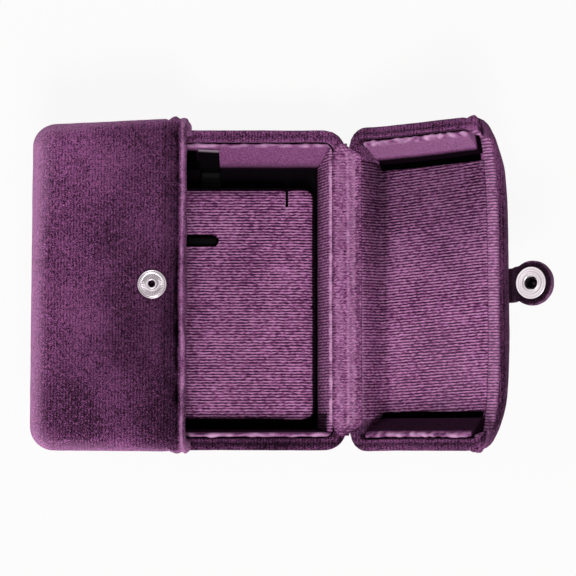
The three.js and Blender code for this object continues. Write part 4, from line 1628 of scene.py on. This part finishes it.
@dataclass
class SnapFastener:
    """The fluted stud on the left door, and the socket and cap on the tab."""

    dresser: Dresser
    steps: int = 144
    flutes: int = 36

    def build(self) -> None:
        """Builds the stud, the socket and the cap."""
        self.stud()
        self.socket()
        self.cap()
        for node in ("socket_spring", "stud_washer"):
            self.dresser.dress_solid(node, self.dresser.wardrobe.nickel)

    def metal(
        self, profile: Sequence[Tuple[float, float]], name: str, along: float, placement: Matrix, body: str,
        node: str, dark: Measure, move: Optional[Move] = None,
    ) -> None:
        """Spins one metal piece and places it.

        Args:
            profile: radius and height above the door's rim.
            name: the piece's name.
            along: its axis, from the hinge.
            placement: from the millimetres it is drawn in to the box's metres.
            body: the body it rides on.
            node: the frame solid that it replaces.
            dark: the painted shade on a point, down to -1 where little light reaches.
            move: how its points are pressed after the spin.
        """
        piece = into_object(spun(profile, self.steps), name)
        sculpt(piece, move or (lambda place, normal: Vector()), dark)
        piece.data.transform(Matrix.Translation((along, 0, 0)))
        self.dresser.place(piece, placement, self.dresser.wardrobe.nickel, "snap_metal", body, (node,))

    def stud(self) -> None:
        """A flange with a double rim and radial flutes, and a hollow headed post."""
        profile = [
            (0.95, 13.9), (1.38, 13.9), (1.4, 17.75), (4.3, 17.75), (4.46, 17.85), (4.5, 18.05), (4.46, 18.3),
            (4.32, 18.42), (4.16, 18.4), (4.06, 18.24), (3.96, 18.22), (3.86, 18.34), (3.72, 18.4),
            (3.58, 18.34), (3.46, 18.2), (3.1, 18.18), (2.7, 18.18), (2.3, 18.2), (1.95, 18.3), (1.7, 18.5),
            (1.46, 18.8), (1.4, 19.2), (1.42, 19.5), (1.6, 19.75), (1.7, 19.95), (1.66, 20.12), (1.52, 20.2),
            (1.3, 20.2), (1.12, 20.1), (1.05, 19.9), (1.0, 19.5), (0.95, 18.5), (0.95, 13.9),
        ]
        self.metal(
            profile, "stud_flange_and_post", STUD_FROM_HINGE, Side.LEFT.placement, "left_door", "snap_stud",
            self.between_flutes, self.fluted,
        )

    def between_flutes(self, place: Vector) -> float:
        """Painted shade in the furrows between the flutes, in a groove of the rim, at the foot of the post
        and in its bore.

        Args:
            place: the point, in the piece's own millimetres.

        Returns:
            The painted light mark there.
        """
        radius = math.hypot(place.x, place.y)
        wave = 0.5 - 0.5 * math.cos(self.flutes * math.atan2(place.y, place.x))
        furrow = 0.75 * wave * slope(radius, 1.9, 2.2) * (1 - slope(radius, 3.35, 3.55))
        ring = 0.55 * hump(radius, 4.0, 0.1) + 0.45 * hump(radius, 1.85, 0.16)
        # Painted shade in the bore, the furrows and the rings.
        return -1.0 if radius < 1.06 and place.z < 20.0 else -min(1.0, furrow + ring)

    def fluted(self, place: Vector, normal: Vector) -> Vector:
        """Presses radial flutes into the flat of the flange.

        Args:
            place: the point, in the piece's own millimetres.
            normal: its normal.

        Returns:
            How far the point moves, in millimetres.
        """
        radius = math.hypot(place.x, place.y)
        if place.z < 18.1:
            return Vector((0, 0, 0))
        share = slope(radius, 1.9, 2.3) * (1 - slope(radius, 3.3, 3.6))
        wave = 0.5 + 0.5 * math.cos(self.flutes * math.atan2(place.y, place.x))
        return Vector((0, 0, 0.22 * share * wave))

    def socket(self) -> None:
        """A flange of concentric rings round a dark mouth, with its barrel let into the tab."""
        profile = [
            (2.1, 18.78), (2.2, 18.64), (2.36, 18.6), (2.55, 18.66), (2.75, 18.78), (3.1, 18.8), (3.5, 18.76),
            (3.75, 18.64), (3.95, 18.62), (4.15, 18.72), (4.35, 18.74), (4.6, 18.64), (4.82, 18.62),
            (4.97, 18.72), (5.0, 18.9), (4.94, 19.03), (3.4, 19.04), (3.4, 20.82), (1.6, 20.84), (1.6, 20.46),
            (3.0, 20.44), (3.0, 19.06), (2.2, 19.04), (2.1, 18.92), (2.1, 18.78),
        ]
        self.metal(
            profile, "socket_rings", SNAP_FROM_HINGE, head_placement(), "tab", "snap_socket",
            self.inside_socket,
        )

    def inside_socket(self, place: Vector) -> float:
        """Painted shade in the barrel and in the grooves between the rings.

        Args:
            place: the point, in the piece's own millimetres.

        Returns:
            The painted light mark there.
        """
        radius = math.hypot(place.x, place.y)
        # Painted shade in the barrel and the ring grooves.
        if place.z > 18.9 and radius < 3.2:
            return -1.0
        return -0.4 * hump(radius, 3.1, 0.18) - 0.35 * hump(radius, 4.25, 0.16)

    def cap(self) -> None:
        """The domed cap outside the tab, with its rivet."""
        profile = [
            (0.0, 20.66), (1.28, 20.66), (1.3, 21.36), (4.5, 21.36), (4.66, 21.42), (4.7, 21.56),
            (4.6, 21.72), (4.1, 21.98), (3.3, 22.16), (2.3, 22.28), (1.2, 22.34), (0.0, 22.35),
        ]
        self.metal(
            profile, "snap_dome", SNAP_FROM_HINGE, head_placement(), "tab", "snap_cap",
            # Painted shade under the dome, on its rivet and underside.
            lambda place: -1.0 if place.z < 21.3 else 0.0,
        )


@dataclass
class ClosingTab:
    """The velvet strap on the right door's free edge: a glued root, a neck and a round head."""

    dresser: Dresser
    neck_half: float = 5.4
    head_radius: float = 6.95
    half_thickness: float = 0.85
    root_start: float = DOOR_LENGTH - 9.0
    bend_radius: float = 2.0
    voxel: float = 0.26

    @property
    def neck_length(self) -> float:
        """From the line where the neck bends to the line where the head bends."""
        return math.dist(NECK_LINE, HEAD_LINE)

    @property
    def neck_end(self) -> float:
        """Where the head bends, measured along the strap."""
        return NECK_LINE[0] + self.neck_length

    @property
    def eye(self) -> float:
        """The middle of the snap, measured along the strap."""
        return self.neck_end + SNAP_FROM_HINGE - HEAD_LINE[0]

    def build(self) -> None:
        """Builds the strap in two lengths that meet in the middle of the neck."""
        middle = NECK_LINE[0] + self.neck_length / 2
        self.root(middle)
        self.head(middle)

    def root(self, middle: float) -> None:
        """The glued end of the strap and the first half of its neck.

        Args:
            middle: where it ends, measured along the strap.
        """
        bm = rounded_block(
            (self.root_start, -self.neck_half, -self.half_thickness),
            (middle + 2 * self.neck_half, self.neck_half, self.half_thickness), self.neck_half - 0.1, 0, 8,
        )
        cut_away(bm, (middle + 1, 0, 0), (1, 0, 0))
        bmesh.ops.holes_fill(bm, edges=list(bm.edges))
        piece = into_object(bm, "tab_root_and_neck")
        even_faces(piece, self.voxel, 4)
        self.trimmed(piece, middle, (1, 0, 0))
        self.hung(piece, ("tab_root", "tab_neck"))

    def head(self, middle: float) -> None:
        """The second half of the neck and the round head with its eye.

        Args:
            middle: where it starts, measured along the strap.
        """
        depth = 2 * self.half_thickness
        bm = disc(self.head_radius, depth, self.eye, 96)
        start = middle - 1
        length = self.eye - start
        block((length, 2 * self.neck_half, depth), (start + length / 2, 0, 0), bm)
        piece = into_object(bm, "closing_tab")
        even_faces(piece, self.voxel, 4)
        self.trimmed(piece, middle, (-1, 0, 0))
        take_away(piece, disc(3.65, 20, self.eye, 64))
        self.hung(piece, ("tab_strap",))

    def trimmed(self, piece: Piece, middle: float, outwards: Tuple[float, float, float]) -> None:
        """Cuts a length square in the middle of the neck and closes the cut.

        Args:
            piece: the piece.
            middle: where the cut is, measured along the strap.
            outwards: towards the side that is cut off.
        """
        bm = bmesh.new()
        bm.from_mesh(piece.data)
        cut_away(bm, (middle, 0, 0), outwards)
        bmesh.ops.holes_fill(bm, edges=[e for e in bm.edges if e.is_boundary])
        bm.to_mesh(piece.data)
        bm.free()

    def hung(
        self, piece: Piece, nodes: Tuple[str, ...],
    ) -> None:
        """Bends a length of strap to its course, dresses it, and bakes its placement.

        Args:
            piece: the length, lying flat.
            nodes: the frame solids that it replaces.
        """
        sculpt(piece, self.to_course, self.pale_edge)
        velvet = self.dresser.wardrobe.dark_velvet
        self.dresser.place(piece, Side.RIGHT.placement, velvet, "velvet", None, nodes)
        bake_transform(piece)

    def course(self, along: float, lift: float) -> Vector:
        """Where a point of the flat strap comes to lie, in the right door's millimetres.

        Args:
            along: how far along the strap it is.
            lift: how far it stands off the strap's middle, outwards.

        Returns:
            The place.
        """
        rise = math.atan2(HEAD_LINE[1] - NECK_LINE[1], HEAD_LINE[0] - NECK_LINE[0])
        neck = rise - math.radians(NECK_CURL)
        head = math.radians(HEAD_CURL - NECK_CURL)
        place = Vector((NECK_LINE[0], 0, NECK_LINE[1]))
        corner = place + self.neck_length * Vector((math.cos(neck), 0, math.sin(neck)))
        if along < NECK_LINE[0] + self.neck_length / 2:
            return self.turned(place, along - NECK_LINE[0], lift, 0.0, neck)
        return self.turned(corner, along - self.neck_end, lift, neck, head)

    def turned(self, corner: Vector, past: float, lift: float, before: float, after: float) -> Vector:
        """A point near one bend, whose corner is rounded to an arc.

        Args:
            corner: where the two straights would meet.
            past: how far past the corner the point is.
            lift: how far it stands off the middle of the strap.
            before: heading before the bend, in radians.
            after: heading after it.

        Returns:
            The place.
        """
        angle = after - before
        reach = self.bend_radius * math.tan(abs(angle) / 2)
        share = min(1.0, max(0.0, (past + reach) / (2 * reach)))
        start = corner - reach * Vector((math.cos(before), 0, math.sin(before)))
        side = math.copysign(1.0, angle)
        centre = start + side * self.bend_radius * Vector((-math.sin(before), 0, math.cos(before)))
        heading = before + angle * share
        ahead = Vector((math.cos(heading), 0, math.sin(heading)))
        off = Vector((-math.sin(heading), 0, math.cos(heading)))
        straight = min(0.0, past + reach) + max(0.0, past - reach)
        return centre - side * self.bend_radius * off + straight * ahead + lift * off

    def to_course(self, place: Vector, normal: Vector) -> Vector:
        """Bends the flat strap to its course, a little uneven and pressed in round the socket.

        Args:
            place: the point, in the piece's own millimetres.
            normal: its normal.

        Returns:
            How far the point moves, in millimetres.
        """
        far = math.hypot(place.x - self.eye, place.y)
        crease = -0.20 * hump(far, 6.0, 0.35) * slope(place.x, self.eye, self.eye + 3)
        seat = -0.12 * (1 - slope(far, 4.6, 5.6))
        rough = place + normal * (0.05 * ripple(place, 1.8, 19.0) + crease + seat)
        there = self.course(rough.x, rough.z)
        there.y = rough.y
        return there - place

    def pale_edge(self, place: Vector) -> float:
        """A painted highlight round the head's edge, and painted shade over the rest of the strap.

        Args:
            place: the point, in the piece's own millimetres.

        Returns:
            The fold mark there.
        """
        far = math.hypot(place.x - self.eye, place.y)
        # Painted highlight round the head's edge, painted shade over the rest.
        rim = 0.75 * slope(far, 5.9, 6.7) * slope(place.x, self.eye - 4.5, self.eye - 1.0)
        return rim - 0.5 + 0.25 * ripple(place, 1.6, 33.0)


# The studio


@dataclass
class Studio:
    """A white sweep, soft lamps and the camera over the box."""

    camera_place: Tuple[float, float, float] = (0.0307, -0.0469, 0.6027)
    tilt: float = 0.0814
    lens_mm: float = 113.27
    key_power: float = 9.5
    side_power: float = 2.2
    rim_power: float = 1.2
    sky: float = 0.2

    def build(self) -> None:
        """Builds the studio."""
        bpy.context.scene.view_settings.view_transform = "Standard"
        self.camera()
        self.lamp("key", (0.05, -0.62, 0.95), 0.35, self.key_power)
        self.lamp("side", (-0.75, 0.05, 0.75), 0.5, self.side_power)
        self.lamp("rim", (-0.7, 0.95, 0.33), 0.5, self.rim_power)
        self.world()
        self.floor()

    def camera(self) -> None:
        """The camera, nearly straight above."""
        data = bpy.data.cameras.new("camera")
        data.lens = self.lens_mm
        data.sensor_width = 36.0
        camera = bpy.data.objects.new("camera", data)
        camera.location = self.camera_place
        camera.rotation_euler = (self.tilt, 0, 0)
        bpy.context.scene.collection.objects.link(camera)
        bpy.context.scene.camera = camera

    def lamp(self, name: str, place: Tuple[float, float, float], size: float, power: float) -> None:
        """A square soft lamp aimed at the box.

        Args:
            name: the lamp's name.
            place: where it stands.
            size: its side.
            power: its power.
        """
        data = bpy.data.lights.new(name, "AREA")
        data.shape = "SQUARE"
        data.size = size
        data.energy = power
        lamp = bpy.data.objects.new(name, data)
        lamp.location = place
        aim = Vector((0.02, 0, 0.02)) - Vector(place)
        lamp.rotation_euler = aim.to_track_quat("-Z", "Y").to_euler()
        bpy.context.scene.collection.objects.link(lamp)

    def world(self) -> None:
        """An even sky, white to the camera and to mirrors."""
        board = NodeBoard("studio_sky", bpy.data.worlds.new("studio_sky"))
        soft = board.add("ShaderNodeBackground", Color=(1, 1, 1, 1), Strength=self.sky)
        white = board.add("ShaderNodeBackground", Color=linear("fdfcfc"))
        both = [soft.outputs[0], white.outputs[0]]
        mix = board.add("ShaderNodeMixShader", Fac=board.seen_plainly(), Shader=both)
        board.add("ShaderNodeOutputWorld", Surface=mix.outputs[0])
        bpy.context.scene.world = board.owner

    def floor(self) -> None:
        """A pale floor that keeps a faint shadow."""
        bm = bmesh.new()
        bmesh.ops.create_grid(bm, x_segments=1, y_segments=1, size=2.0)
        bmesh.ops.translate(bm, vec=(0, 0, -0.00005), verts=bm.verts)
        piece = into_object(bm, "studio_floor")
        board = NodeBoard("white_sweep")
        matt = board.add("ShaderNodeBsdfDiffuse", Color=linear("f2f1f1"))
        glow = board.add("ShaderNodeEmission", Color=linear("fefdfd"))
        share = board.times(board.seen_plainly(), 0.93)
        mix = board.add("ShaderNodeMixShader", Fac=share, Shader=[matt.outputs[0], glow.outputs[0]])
        board.add("ShaderNodeOutputMaterial", Surface=mix.outputs[0])
        piece.data.materials.append(board.owner)


def main() -> None:
    """Builds the box, piece by piece, and the studio round it."""
    logging.basicConfig(level=logging.INFO, format="%(message)s")
    dresser = Dresser(Wardrobe())
    Studio().build()
    BaseCase(dresser).build()
    JewelPad(dresser).build()
    for side in Side:
        Door(dresser, side).build()
        HingeCloth(dresser, side).build()
    SnapFastener(dresser).build()
    ClosingTab(dresser).build()


if __name__ == "__main__":
    main()
